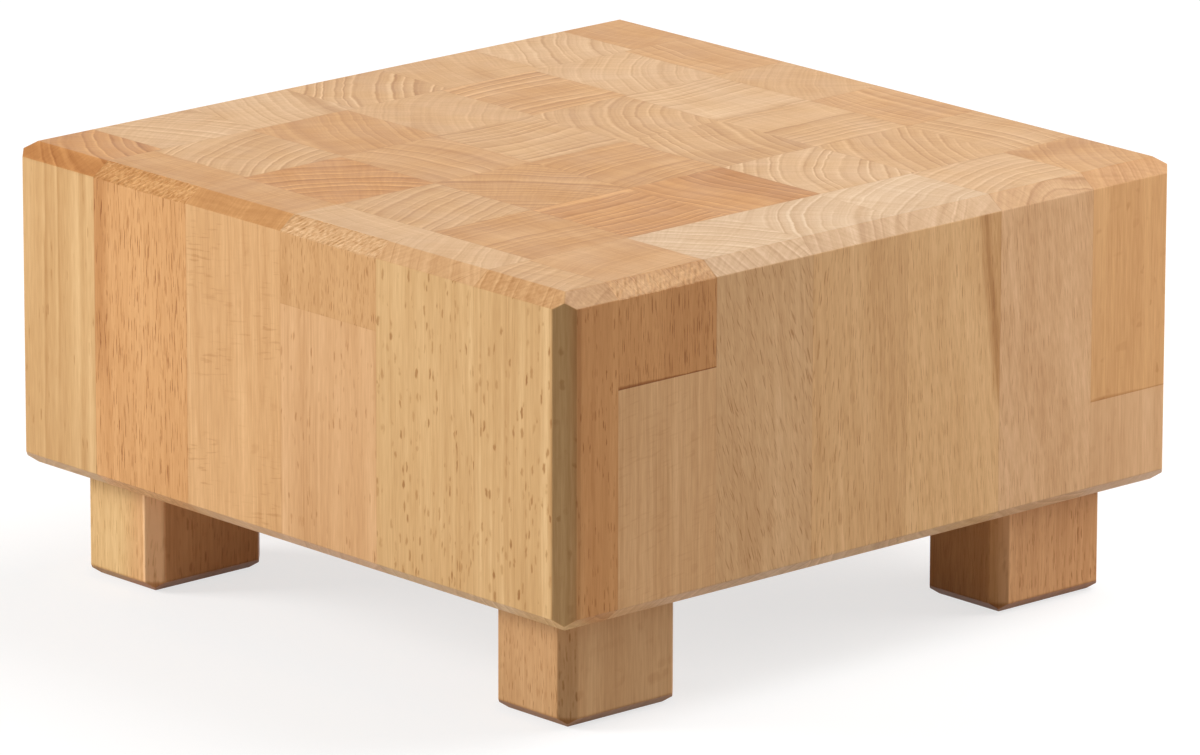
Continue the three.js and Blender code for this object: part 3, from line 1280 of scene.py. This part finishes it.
@dataclass
class ChamferedBlank:
    """A squared block with chamfered edges, whose arrises are then eased by hand.

    Attributes:
        low: Lowest corner.
        high: Highest corner.
        corner: Width taken off each face at an upright edge.
        top: Chamfer round the top, if there is one.
        base: Chamfer round the base.
        arris: Reach of the eased arris on either side.
        segments: Number of facets across an arris.
    """

    low: Vector
    high: Vector
    corner: float
    top: Chamfer | None
    base: Chamfer
    arris: float = 0.3 * MM
    segments: int = 2

    def _planes(self) -> list[tuple[Vector, Vector]]:
        """Lays out the chamfers.

        Returns:
            A point on each chamfer and its outward direction.
        """
        planes = []
        for axis in (0, 1):
            for sign, edge in ((-1.0, self.low), (1.0, self.high)):
                out = Vector((0.0, 0.0, 0.0))
                out[axis] = sign
                foot = Vector((0.0, 0.0, self.low.z + self.base.drop))
                foot[axis] = edge[axis]
                planes.append((foot, out * self.base.drop - Vector((0.0, 0.0, self.base.run))))
                if self.top:
                    brow = Vector((0.0, 0.0, self.high.z - self.top.drop))
                    brow[axis] = edge[axis]
                    planes.append((brow, out * self.top.drop + Vector((0.0, 0.0, self.top.run))))
        for sign_x, edge_x in ((-1.0, self.low.x), (1.0, self.high.x)):
            for sign_y, edge_y in ((-1.0, self.low.y), (1.0, self.high.y)):
                point = Vector((edge_x - sign_x * self.corner, edge_y, 0.0))
                planes.append((point, Vector((sign_x, sign_y, 0.0))))
        return planes

    def mesh(self, name: str) -> bpy.types.Mesh:
        """Builds the blank.

        Args:
            name: Name of the mesh.

        Returns:
            A closed mesh.
        """
        shape = bmesh.new()
        stretch = Matrix.Diagonal((*(self.high - self.low), 1.0))
        centred = Matrix.Translation(middle_of((self.low, self.high)))
        bmesh.ops.create_cube(shape, size=1.0, matrix=centred @ stretch)
        for point, out in self._planes():
            everything = shape.verts[:] + shape.edges[:] + shape.faces[:]
            bmesh.ops.bisect_plane(
                shape, geom=everything, plane_co=point, plane_no=out.normalized(), clear_outer=True
            )
            bmesh.ops.holes_fill(shape, edges=[edge for edge in shape.edges if edge.is_boundary])
        bmesh.ops.bevel(
            shape,
            geom=shape.edges[:],
            offset=self.arris,
            offset_type="OFFSET",
            segments=self.segments,
            profile=0.5,
            affect="EDGES",
        )
        bmesh.ops.recalc_face_normals(shape, faces=shape.faces[:])
        made = bpy.data.meshes.new(name)
        shape.to_mesh(made)
        shape.free()
        return made


@dataclass(frozen=True)
class ChamferPlane:
    """The flat of a chamfer.

    Attributes:
        middle: A point on it.
        normal: Its outward direction.
        along: Its level direction.
        across: Its direction down the slope.
        flatness: How far off a point may lie that still counts as on it.
        parallel: Least cosine between its length and an edge that counts as running along it.
    """

    middle: Vector
    normal: Vector
    along: Vector
    across: Vector
    flatness: float = 0.001 * MM
    parallel: float = 0.99

    @classmethod
    def of(cls, face: bmesh.types.BMFace) -> "ChamferPlane":
        """Takes the plane of a sloping face.

        Args:
            face: The face.

        Returns:
            The plane.
        """
        normal = face.normal.copy()
        along = normal.cross(Vector((0.0, 0.0, 1.0))).normalized()
        return cls(face.calc_center_median(), normal, along, normal.cross(along))

    def has_along(self, edge: bmesh.types.BMEdge) -> bool:
        """Tells whether an edge runs along the chamfer."""
        direction = (edge.verts[1].co - edge.verts[0].co).normalized()
        return abs(direction.dot(self.along)) > self.parallel

    def holds(self, edge: bmesh.types.BMEdge) -> bool:
        """Tells whether an edge lies on the chamfer."""
        heights = [(vert.co - self.middle).dot(self.normal) for vert in edge.verts]
        return all(abs(height) < self.flatness for height in heights)


@dataclass(frozen=True)
class BluntSaw:
    """A saw that tears the end grain of a top chamfer instead of cutting it.

    Attributes:
        least: Smallest value of a cut's torn that is cut into the shape.
        facet: Length of a facet along the chamfer.
        rows: Number of facets across the chamfer.
        depth: Depth of the deepest tears.
        slant: Direction of the tears on the chamfer, in radians from its length.
        length: Length of a tear.
        width: Width of a tear.
        middle: Share of the depth between tears and ridges.
        gain: How quickly a tear gets deep.
        finer: How many times finer the small tears are.
        finer_share: Depth of the small tears, as a share of the others'.
        finer_shift: Where the small tears lie in the noise.
        alike: How close a face's rise comes to the chamfer's.
        upright: Rise of a face that counts as upright and stays as it is.
        level: Rise of a face that counts as level and stays as it is.
    """

    least: float = 0.5
    facet: float = 0.6 * MM
    rows: int = 14
    depth: float = 0.45 * MM
    slant: float = math.radians(55.0)
    length: float = 5.0 * MM
    width: float = 1.1 * MM
    middle: float = 0.4
    gain: float = 0.9
    finer: float = 2.1
    finer_share: float = 0.5
    finer_shift: Triple = (7.3, 1.9, 4.1)
    alike: float = 0.005
    upright: float = 0.05
    level: float = 0.995

    def tear(self, mesh: bpy.types.Mesh, chamfer: Chamfer, segments: int, torn: float) -> None:
        """Tears the chamfer of a stave, inwards only.

        Args:
            mesh: The stave's mesh, which is changed.
            chamfer: The chamfer round the top.
            segments: Number of facets across an eased arris.
            torn: How much it is torn, up to 1.
        """
        shape = bmesh.new()
        shape.from_mesh(mesh)
        rise = chamfer.run / math.hypot(chamfer.run, chamfer.drop)
        sloped = [face for face in shape.faces if abs(face.normal.z - rise) < self.alike]
        face = max(sloped, key=lambda each: each.calc_area())
        plane = ChamferPlane.of(face)
        self._divide(shape, face, segments, plane)
        kept = [each for each in shape.faces if not self.upright < each.normal.z < self.level]
        for vert in set(shape.verts) - {vert for each in kept for vert in each.verts}:
            amount = self._amount(vert.co.dot(plane.along), vert.co.dot(plane.across))
            vert.co -= plane.normal * (self.depth * torn * amount)
        shape.to_mesh(mesh)
        shape.free()

    def _divide(
        self, shape: bmesh.types.BMesh, face: bmesh.types.BMFace, segments: int, plane: ChamferPlane
    ) -> None:
        """Divides the chamfer and its eased arrises into small facets.

        Args:
            shape: The stave's shape, which is changed.
            face: The flat of the chamfer.
            segments: Number of facets across an eased arris.
            plane: The plane of the chamfer.
        """
        rails = [edge for edge in face.edges if plane.has_along(edge)]
        length = rails[0].calc_length()
        for edge in rails[:]:
            strip = face
            for _ in range(segments):
                strip = next(other for other in edge.link_faces if other != strip)
                edge = next(other for other in strip.edges if not set(other.verts) & set(edge.verts))
                rails.append(edge)
        cuts = round(length / self.facet) - 1
        bmesh.ops.subdivide_edges(shape, edges=rails, cuts=cuts, use_grid_fill=True)
        rungs = [edge for edge in shape.edges if plane.holds(edge) and not plane.has_along(edge)]
        bmesh.ops.subdivide_edges(shape, edges=rungs, cuts=self.rows - 1, use_grid_fill=True)

    def _amount(self, along: float, across: float) -> float:
        """Gives how deep a point of the chamfer is torn.

        Args:
            along: Where it lies along the chamfer.
            across: Where it lies down the slope.

        Returns:
            The share of the depth, from 0 to 1.
        """
        down = along * math.cos(self.slant) + across * math.sin(self.slant)
        beside = across * math.cos(self.slant) - along * math.sin(self.slant)
        place = Vector((down / self.length, beside / self.width, 0.0))
        finer = noise.noise(place * self.finer + Vector(self.finer_shift))
        value = noise.noise(place) + self.finer_share * finer
        return min(max(self.middle + self.gain * value, 0.0), 1.0)


# Names of the vectors that a piece stores about its own wood
GRAIN_INPUTS = (
    "heart", "turn", "growth", "figure", "marks", "side_tone", "end_tone", "core_tone", "core",
    "seam_low", "seam_high",
    *(f"{part}_{number}" for number in range(MAX_STREAKS) for part in ("line", "band", "wedge")),
)
FREE = (Vector((-FAR_MM, -FAR_MM, -FAR_MM)), Vector((FAR_MM, FAR_MM, FAR_MM)))


def grain_values(cut: Cut, middle: Vector, order: int, seams: Box = FREE) -> dict[str, object]:
    """Works out what a piece stores about its own wood.

    Args:
        cut: How the piece was sawn.
        middle: Middle of the piece.
        order: Number of the piece, which gives it a seed of its own.
        seams: Lowest and highest glued faces in mm, far off where a face is free.

    Returns:
        A vector for each name in GRAIN_INPUTS.
    """
    seed = (order * GOLDEN_STEP) % 1.0
    angle = math.radians(cut.heart[0])
    reach = cut.heart[1]
    heart = middle / MM + Vector((math.cos(angle), math.sin(angle), 0.0)) * reach
    marks = cut.figure.value
    core_tone, core_reach = cut.core or (cut.side, 0.0)
    values: dict[str, object] = {
        "heart": (heart.x, heart.y, seed),
        "turn": (angle + math.pi, reach, cut.lean),
        "growth": (cut.pitch_mm, cut.rings.value, cut.joint),
        "figure": (marks.share, marks.width_mm, marks.height_mm),
        "marks": (marks.depth, marks.strokes, marks.bands),
        "side_tone": cut.side.value,
        "end_tone": cut.end.value,
        "core_tone": core_tone.value,
        "core": (core_reach, cut.torn, 0.0),
        "seam_low": tuple(seams[0]),
        "seam_high": tuple(seams[1]),
    }
    streaks = cut.streaks + (Streak(),) * MAX_STREAKS
    for number, streak in enumerate(streaks[:MAX_STREAKS]):
        toward = math.radians(streak.toward)
        line = Vector((math.cos(toward), math.sin(toward), 0.0))
        values[f"line_{number}"] = (line.x, line.y, line.dot(middle) / MM + streak.offset_mm)
        values[f"band_{number}"] = (streak.half_width_mm, streak.depth, streak.on_end)
        values[f"wedge_{number}"] = (streak.foot_mm, streak.drift_mm, streak.fill)
    return values


@dataclass
class Recipe:
    """A Geometry Nodes tree with named inputs.

    Attributes:
        name: Name of the tree.
        tree: The tree.
        desk: Desk on the tree.
        entry: The tree's input node.
        sockets: Identifier of each input by its name.
    """

    name: str
    tree: bpy.types.NodeTree = field(init=False)
    desk: NodeDesk = field(init=False)
    entry: bpy.types.Node = field(init=False)
    sockets: dict[str, str] = field(init=False, default_factory=dict)

    def __post_init__(self) -> None:
        """Starts the tree with a mesh going in and a mesh coming out."""
        self.tree = bpy.data.node_groups.new(self.name, "GeometryNodeTree")
        self.tree.interface.new_socket("Blank", in_out="INPUT", socket_type="NodeSocketGeometry")
        self.tree.interface.new_socket("Piece", in_out="OUTPUT", socket_type="NodeSocketGeometry")
        self.desk = NodeDesk(self.tree)
        self.entry = self.desk.node("NodeGroupInput")

    def input(self, name: str, kind: str) -> Socket:
        """Adds a named input.

        Args:
            name: Name of the input.
            kind: Kind of value, such as Vector.

        Returns:
            The socket that carries the value inside the tree.
        """
        made = self.tree.interface.new_socket(name, in_out="INPUT", socket_type="NodeSocket" + kind)
        self.sockets[name] = made.identifier
        return self.entry.outputs[name]

    def grained(self, shape: Socket) -> Socket:
        """Stores the wood's values on a shape, each from a named input.

        Args:
            shape: The shape.

        Returns:
            The shape with its values.
        """
        for name in GRAIN_INPUTS:
            store = self.desk.node(
                "GeometryNodeStoreNamedAttribute",
                fed={"Geometry": shape, "Name": name, "Value": self.input(name, "Vector")},
                data_type="FLOAT_VECTOR",
                domain="POINT",
            )
            shape = store.outputs["Geometry"]
        return shape

    def end(self, shape: Socket) -> None:
        """Ends the tree with real geometry in its finish.

        Args:
            shape: The shape.
        """
        real = self.desk.node("GeometryNodeRealizeInstances", shape)
        finish = self.input("Finish", "Material")
        dressed = self.desk.node(
            "GeometryNodeSetMaterial",
            fed={"Geometry": real.outputs["Geometry"], "Material": finish},
        )
        self.desk.node("NodeGroupOutput", dressed.outputs["Geometry"])

    def make(self, name: str, blank: bpy.types.Mesh, values: dict[str, object]) -> bpy.types.Object:
        """Runs the tree on a blank and keeps the result as a plain mesh.

        Args:
            name: Name of the new piece.
            blank: Mesh to start from.
            values: Value of each named input.

        Returns:
            The new object, at the origin and with no modifier.
        """
        piece = bpy.data.objects.new(name, blank)
        bpy.context.scene.collection.objects.link(piece)
        modifier = piece.modifiers.new(self.name, "NODES")
        modifier.node_group = self.tree
        for key, value in values.items():
            modifier[self.sockets[key]] = value
        graph = bpy.context.evaluated_depsgraph_get()
        plain = bpy.data.meshes.new_from_object(
            piece.evaluated_get(graph), preserve_all_data_layers=True, depsgraph=graph
        )
        piece.modifiers.clear()
        piece.data = plain
        plain.name = name
        return piece


def stave_recipe() -> Recipe:
    """Builds the tree that saws one stave out of the glued block.

    Returns:
        The recipe.
    """
    recipe = Recipe("saw_stave")
    desk = recipe.desk
    low = recipe.input("Cell Low", "Vector")
    high = recipe.input("Cell High", "Vector")
    cell = desk.node("GeometryNodeMeshCube", fed={"Size": desk.vector("SUBTRACT", high, low)})
    centre = desk.scaled(desk.vector("ADD", high, low), 0.5)
    placed = desk.node(
        "GeometryNodeTransform", fed={"Geometry": cell.outputs["Mesh"], "Translation": centre}
    )
    saw = desk.node("GeometryNodeMeshBoolean", operation="INTERSECT", solver="EXACT")
    desk.feed(saw.inputs["Mesh 2"], placed.outputs["Geometry"])
    desk.feed(saw.inputs["Mesh 2"], recipe.entry.outputs["Blank"])
    recipe.end(recipe.grained(saw.outputs["Mesh"]))
    return recipe


def placing_recipe() -> Recipe:
    """Builds the tree that sets a copy of a blank, such as a foot, in its place.

    Returns:
        The recipe.
    """
    recipe = Recipe("set_in_place")
    place = recipe.input("Place", "Vector")
    placed = recipe.desk.node(
        "GeometryNodeTransform",
        fed={"Geometry": recipe.entry.outputs["Blank"], "Translation": place},
    )
    recipe.end(recipe.grained(placed.outputs["Geometry"]))
    return recipe


BORE_FACETS = 48


def drilling_recipe() -> Recipe:
    """Builds the tree that drills a blank at each point of another mesh.

    Returns:
        The recipe.
    """
    recipe = Recipe("drill_blank")
    desk = recipe.desk
    centres = desk.node("GeometryNodeObjectInfo", fed={"Object": recipe.input("Centres", "Object")})
    drill = desk.node(
        "GeometryNodeMeshCylinder",
        fed={
            "Vertices": BORE_FACETS,
            "Radius": recipe.input("Radius", "Float"),
            "Depth": recipe.input("Length", "Float"),
        },
    )
    points = desk.node("GeometryNodeMeshToPoints", fed={"Mesh": centres.outputs["Geometry"]})
    row = desk.node(
        "GeometryNodeInstanceOnPoints",
        fed={"Points": points.outputs["Points"], "Instance": drill.outputs["Mesh"]},
    )
    drills = desk.node("GeometryNodeRealizeInstances", row.outputs["Instances"])
    bore = desk.node("GeometryNodeMeshBoolean", operation="DIFFERENCE", solver="EXACT")
    desk.feed(bore.inputs["Mesh 1"], recipe.entry.outputs["Blank"])
    desk.feed(bore.inputs["Mesh 2"], drills.outputs["Geometry"])
    recipe.end(bore.outputs["Mesh"])
    return recipe


POINTS_PER_FLUTE = 6.0
ROD_SEGMENTS = 3


def dowel_recipe() -> Recipe:
    """Builds the tree that turns one fluted dowel with eased ends.

    Returns:
        The recipe.
    """
    recipe = Recipe("turn_dowel")
    desk = recipe.desk
    radius = recipe.input("Radius", "Float")
    length = recipe.input("Length", "Float")
    ease = recipe.input("Ease", "Float")
    groove = recipe.input("Groove", "Float")
    flutes = recipe.input("Flutes", "Int")
    place = recipe.input("Place", "Vector")
    rod = desk.node(
        "GeometryNodeMeshCylinder",
        fed={
            "Vertices": desk.product(flutes, POINTS_PER_FLUTE),
            "Side Segments": ROD_SEGMENTS,
            "Radius": radius,
            "Depth": length,
        },
    )
    x, y, z = desk.parts(desk.node("GeometryNodeInputPosition").outputs[0])
    # The two inner rings of the rod move out to where the eased ends begin
    inner = desk.math("LESS_THAN", desk.math("ABSOLUTE", z), desk.product(length, 0.25))
    inner_height = desk.math("DIVIDE", length, 2.0 * ROD_SEGMENTS)
    shoulder = desk.math("SUBTRACT", desk.product(length, 0.5), ease)
    height = desk.product(z, desk.between(inner, 1.0, desk.math("DIVIDE", shoulder, inner_height)))
    wave = desk.math("COSINE", desk.product(desk.math("ARCTAN2", y, x), flutes))
    cut = desk.product(desk.math("MULTIPLY_ADD", wave, 0.5, 0.5), groove)
    taper = desk.product(desk.rest(inner), ease)
    slim = desk.rest(desk.math("DIVIDE", desk.total(cut, taper), radius))
    turned = desk.joined(desk.product(x, slim), desk.product(y, slim), height)
    fluted = desk.node(
        "GeometryNodeSetPosition", fed={"Geometry": rod.outputs["Mesh"], "Position": turned}
    )
    placed = desk.node(
        "GeometryNodeTransform", fed={"Geometry": fluted.outputs["Geometry"], "Translation": place}
    )
    recipe.end(recipe.grained(placed.outputs["Geometry"]))
    return recipe


def hand_over(piece: bpy.types.Object, node: str) -> None:
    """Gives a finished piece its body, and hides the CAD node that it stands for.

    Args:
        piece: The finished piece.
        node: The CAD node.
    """
    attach(piece, BODY)
    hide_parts(node)
    LOG.info("%s: %d faces", piece.name, len(piece.data.polygons))


@dataclass
class Dowels:
    """The fluted dowels that hold the feet, two in each, and the bores that they sit in.

    Attributes:
        flutes: Number of glue grooves round a dowel.
        groove: Depth of a groove.
        ease: Chamfer at the ends.
        gap: Room for glue round a dowel and past its ends.
        prefix: Start of the names of the CAD nodes.
    """

    flutes: int = 20
    groove: float = 0.4 * MM
    ease: float = 1.0 * MM
    gap: float = 0.3 * MM
    prefix: str = "dowel_"

    def nodes(self, place: str) -> list[str]:
        """Names the CAD nodes of the dowels in one foot."""
        return [f"{self.prefix}{place}_{number}" for number in (1, 2)]

    def drilled(self, blank: bpy.types.Mesh, places: list[str], origin: Vector) -> bpy.types.Mesh:
        """Drills a blank for the dowels of some feet.

        Args:
            blank: The blank.
            places: The feet whose dowels go into it.
            origin: Where the blank's own origin lies in the frame.

        Returns:
            A new mesh with the bores.
        """
        boxes = [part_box(node) for place in places for node in self.nodes(place)]
        centres = bpy.data.meshes.new("bore_centres")
        centres.from_pydata([middle_of(box) - origin for box in boxes], [], [])
        marks = bpy.data.objects.new("bore_centres", centres)
        bpy.context.scene.collection.objects.link(marks)
        low, high = boxes[0]
        values = {
            "Centres": marks,
            "Radius": (high.x - low.x) / 2.0 + self.gap,
            "Length": high.z - low.z + 2.0 * self.gap,
        }
        piece = drilling_recipe().make(blank.name + "_drilled", blank, values)
        mesh = piece.data
        bpy.data.objects.remove(piece)
        bpy.data.objects.remove(marks)
        return mesh

    def build(self) -> list[bpy.types.Object]:
        """Turns every dowel in its place.

        Returns:
            The dowels.
        """
        recipe = dowel_recipe()
        finish = BARE_DOWEL.material()
        blank = bpy.data.meshes.new("dowel_blank")
        nodes = [node for place in FOOT_CUTS for node in self.nodes(place)]
        dowels = []
        for order, node in enumerate(nodes):
            low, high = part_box(node)
            middle = middle_of((low, high))
            values = grain_values(DOWEL_CUT, middle, order)
            values.update({
                "Radius": (high.x - low.x) / 2.0,
                "Length": high.z - low.z,
                "Ease": self.ease,
                "Groove": self.groove,
                "Flutes": self.flutes,
                "Place": tuple(middle),
                "Finish": finish,
            })
            dowel = recipe.make("fluted_" + node, blank, values)
            hand_over(dowel, node)
            dowels.append(dowel)
        return dowels


@dataclass
class StaveBlock:
    """The glued block of upright staves.

    Attributes:
        dowels: The dowels that reach into the block.
        corner: Chamfer width on each face at an upright edge.
        top: Chamfer round the top.
        base: Chamfer round the underside.
        margin: How far a cell reaches past the free faces of the block.
        touch: How close a stave comes to a face of the block that it is part of.
        saw: The saw that cut the chamfer round the top.
        prefix: Start of the names of the CAD nodes.
    """

    dowels: Dowels
    corner: float = 6.0 * MM
    top: Chamfer = Chamfer(6.8 * MM, 5.0 * MM)
    base: Chamfer = Chamfer(6.0 * MM, 5.0 * MM)
    margin: float = 10.0 * MM
    touch: float = 0.1 * MM
    saw: BluntSaw = BluntSaw()
    prefix: str = "stave_"

    def box(self) -> Box:
        """Measures the whole block.

        Returns:
            Its lowest and highest corner.
        """
        boxes = [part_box(self.prefix + name) for name in STAVE_CUTS]
        low = Vector(min(box[0][axis] for box in boxes) for axis in range(3))
        high = Vector(max(box[1][axis] for box in boxes) for axis in range(3))
        return low, high

    def cell(self, node: str, block: Box) -> tuple[Box, Box]:
        """Works out what to saw out of the block for one stave, and where the stave is glued.

        Args:
            node: The stave's CAD node.
            block: Lowest and highest corner of the whole block.

        Returns:
            The corners of the cell, and the stave's lowest and highest glued faces in mm.
        """
        low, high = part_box(node)
        seam_low = low / MM
        seam_high = high / MM
        for axis in range(3):
            if low[axis] < block[0][axis] + self.touch:
                low[axis] -= self.margin
                seam_low[axis] = -FAR_MM
            if high[axis] > block[1][axis] - self.touch:
                high[axis] += self.margin
                seam_high[axis] = FAR_MM
        return (low, high), (seam_low, seam_high)

    def build(self) -> list[bpy.types.Object]:
        """Saws every stave out of the chamfered and drilled block, and dresses it.

        Returns:
            The staves.
        """
        block = self.box()
        solid = ChamferedBlank(*block, self.corner, self.top, self.base)
        origin = Vector((0.0, 0.0, 0.0))
        blank = self.dowels.drilled(solid.mesh("block_blank"), list(FOOT_CUTS), origin)
        recipe = stave_recipe()
        finish = OILED_END_GRAIN.material()
        staves = []
        for order, (name, cut) in enumerate(STAVE_CUTS.items()):
            node = self.prefix + name
            cell, seams = self.cell(node, block)
            values = grain_values(cut, middle_of(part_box(node)), order, seams)
            values.update({"Cell Low": tuple(cell[0]), "Cell High": tuple(cell[1]), "Finish": finish})
            stave = recipe.make("sawn_" + node, blank, values)
            if cut.torn >= self.saw.least:
                self.saw.tear(stave.data, self.top, solid.segments, cut.torn)
            hand_over(stave, node)
            staves.append(stave)
        return staves


@dataclass
class Feet:
    """The four feet under the block, which are all alike.

    Attributes:
        dowels: The dowels that reach into the feet.
        corner: Chamfer width on each face at an upright edge.
        base: Chamfer round the sole.
        prefix: Start of the names of the CAD nodes.
    """

    dowels: Dowels
    corner: float = 5.0 * MM
    base: Chamfer = Chamfer(5.0 * MM, 4.0 * MM)
    prefix: str = "foot_"

    def blank(self, place: str) -> bpy.types.Mesh:
        """Makes a drilled foot about its own middle, after the foot in one place.

        Args:
            place: The foot to measure.

        Returns:
            A closed mesh.
        """
        low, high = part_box(self.prefix + place)
        middle = middle_of((low, high))
        solid = ChamferedBlank(low - middle, high - middle, self.corner, None, self.base)
        return self.dowels.drilled(solid.mesh("foot_blank"), [place], middle)

    def build(self) -> list[bpy.types.Object]:
        """Makes one foot and sets it under each corner.

        Returns:
            The feet.
        """
        blank = self.blank(next(iter(FOOT_CUTS)))
        recipe = placing_recipe()
        finish = OILED_FOOT.material()
        feet = []
        for order, (name, cut) in enumerate(FOOT_CUTS.items(), len(STAVE_CUTS)):
            node = self.prefix + name
            middle = middle_of(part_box(node))
            values = grain_values(cut, middle, order)
            values.update({"Place": tuple(middle), "Finish": finish})
            foot = recipe.make("dressed_" + node, blank, values)
            hand_over(foot, node)
            feet.append(foot)
        return feet


@dataclass(frozen=True)
class Softbox:
    """A square soft lamp that faces the block.

    Attributes:
        name: Name of the lamp.
        place: Where it hangs.
        size: Side of its face.
        power: Power in watts.
        mirrored: Whether the oiled faces mirror it.
    """

    name: str
    place: Triple
    size: float
    power: float
    mirrored: bool = True


KEY_LIGHT = Softbox("key_softbox", (-2.1, -2.1, 1.25), 1.4, 93.5, mirrored=False)
BACK_LIGHT = Softbox("back_softbox", (0.9, 2.1, 3.4), 2.4, 112.0)
SIDE_LIGHT = Softbox("side_softbox", (0.45, 0.65, 0.3), 0.4, 3.0)
WHITE = (1.0, 1.0, 1.0, 1.0)


@dataclass
class Studio:
    """Camera, floor, lamps and world.

    Attributes:
        azimuth: Direction of the camera round the block, in degrees from the front.
        elevation: Height of the camera above the horizon in degrees.
        roll: Tilt of the camera in degrees.
        lens: Focal length in millimetres on a sensor of sensor_width.
        sensor_width: Width of the sensor in millimetres.
        distance: Distance from the camera to the aim.
        aim: Point that the camera looks at.
        sight: How far the camera sees.
        ambient: Level of the light that comes from all round.
        floor_bounce: Share of light that the floor gives back to the block at the front.
        card_bounce: Share of light that comes back from a grey card on the floor at the right.
        card_slant: How far the edge of the card runs to the left for each step back.
        card_start: Where the soft edge of the card begins, along X through the middle.
        card_full: Where the soft edge of the card ends, along X through the middle.
        floor_tone: Share of light on the floor that the picture shows.
        floor_lift: Light that brings the floor up to white in the picture.
        floor_roughness: Roughness of the floor.
        floor_size: Side of the floor.
    """

    azimuth: float = 47.7253
    elevation: float = 15.3734
    roll: float = 0.1288
    lens: float = 308.774
    sensor_width: float = 36.0
    distance: float = 3.76094
    aim: Vector = field(default_factory=lambda: Vector((0.0, 0.003255, 0.07662)))
    sight: float = 100.0
    ambient: float = 0.24
    floor_bounce: float = 0.76
    card_bounce: float = 0.46
    card_slant: float = 0.6
    card_start: float = -0.15
    card_full: float = 0.25
    floor_tone: float = 0.33
    floor_lift: float = 0.7
    floor_roughness: float = 0.9
    floor_size: float = 12.0

    def build(self) -> None:
        """Sets up the whole studio."""
        bpy.context.scene.view_settings.view_transform = "Standard"
        self._camera()
        self._world()
        self._floor()
        for softbox in (KEY_LIGHT, BACK_LIGHT, SIDE_LIGHT):
            self._lamp(softbox)

    def _camera(self) -> None:
        """Stands the camera where the picture was taken from."""
        azimuth = math.radians(self.azimuth)
        elevation = math.radians(self.elevation)
        roll = math.radians(self.roll)
        back = Vector((
            math.sin(azimuth) * math.cos(elevation),
            -math.cos(azimuth) * math.cos(elevation),
            math.sin(elevation),
        ))
        level = Vector((math.cos(azimuth), math.sin(azimuth), 0.0))
        upright = back.cross(level)
        right = level * math.cos(roll) + upright * math.sin(roll)
        up = upright * math.cos(roll) - level * math.sin(roll)
        data = bpy.data.cameras.new("photo_camera")
        data.lens = self.lens
        data.sensor_width = self.sensor_width
        data.clip_end = self.sight
        camera = bpy.data.objects.new("photo_camera", data)
        turn = Matrix((right, up, back)).transposed().to_4x4()
        camera.matrix_world = Matrix.Translation(self.aim + back * self.distance) @ turn
        bpy.context.scene.collection.objects.link(camera)
        bpy.context.scene.camera = camera

    def _seen(self, desk: NodeDesk) -> Socket:
        """Tells the rays that show the background from those that carry light.

        Args:
            desk: Desk on the tree of the floor or the world.

        Returns:
            1 for a ray that shows the background and 0 for one that carries light.
        """
        path = desk.node("ShaderNodeLightPath").outputs
        mirrored = desk.math("MAXIMUM", path["Is Glossy Ray"], path["Is Transmission Ray"])
        return desk.math("MAXIMUM", path["Is Camera Ray"], mirrored)

    def _world(self) -> None:
        """Lights from all round, and shows white to the camera."""
        world = bpy.data.worlds.new("studio_world")
        world.use_nodes = True
        bpy.context.scene.world = world
        desk = NodeDesk(world.node_tree)
        background = world.node_tree.nodes["Background"]
        background.inputs["Color"].default_value = WHITE
        desk.feed(background.inputs["Strength"], desk.between(self._seen(desk), self.ambient, 1.0))

    def _floor(self) -> None:
        """Lays a pale floor that takes the block's shadow."""
        shape = bmesh.new()
        bmesh.ops.create_grid(shape, x_segments=1, y_segments=1, size=self.floor_size / 2.0)
        mesh = bpy.data.meshes.new("studio_floor")
        shape.to_mesh(mesh)
        shape.free()
        floor = bpy.data.objects.new("studio_floor", mesh)
        bpy.context.scene.collection.objects.link(floor)
        mesh.materials.append(self._floor_material())

    def _floor_material(self) -> bpy.types.Material:
        """Paints the floor, which is white in the picture and gives less light back at the right.

        Returns:
            The new material.
        """
        material = bpy.data.materials.new("studio_floor")
        material.use_nodes = True
        desk = NodeDesk(material.node_tree)
        shader = material.node_tree.nodes["Principled BSDF"]
        seen = self._seen(desk)
        x, y, _ = desk.parts(desk.node("ShaderNodeTexCoord").outputs["Object"])
        bounce = desk.ramp(
            desk.math("MULTIPLY_ADD", y, self.card_slant, x),
            start=self.card_start,
            end=self.card_full,
            low=self.floor_bounce,
            high=self.card_bounce,
        )
        tone = desk.between(seen, bounce, self.floor_tone)
        desk.feed(shader.inputs["Base Color"], desk.joined(tone, tone, tone))
        shader.inputs["Roughness"].default_value = self.floor_roughness
        shader.inputs["Specular IOR Level"].default_value = 0.0
        shader.inputs["Emission Color"].default_value = WHITE
        desk.feed(shader.inputs["Emission Strength"], desk.product(seen, self.floor_lift))
        return material

    def _lamp(self, softbox: Softbox) -> None:
        """Hangs a lamp that lights the block but doesn't show in the picture.

        Args:
            softbox: The lamp.
        """
        data = bpy.data.lights.new(softbox.name, "AREA")
        data.shape = "SQUARE"
        data.size = softbox.size
        data.energy = softbox.power
        lamp = bpy.data.objects.new(softbox.name, data)
        lamp.location = softbox.place
        lamp.visible_camera = False
        lamp.visible_glossy = softbox.mirrored
        lamp.rotation_euler = (self.aim - lamp.location).to_track_quat("-Z", "Y").to_euler()
        bpy.context.scene.collection.objects.link(lamp)


def main() -> None:
    """Builds the studio and every piece, and reports each one."""
    logging.basicConfig(level=logging.INFO, format="%(message)s")
    Studio().build()
    dowels = Dowels()
    staves = StaveBlock(dowels).build()
    feet = Feet(dowels).build()
    pegs = dowels.build()
    LOG.info("%d staves, %d feet and %d dowels", len(staves), len(feet), len(pegs))


if __name__ == "__main__":
    main()
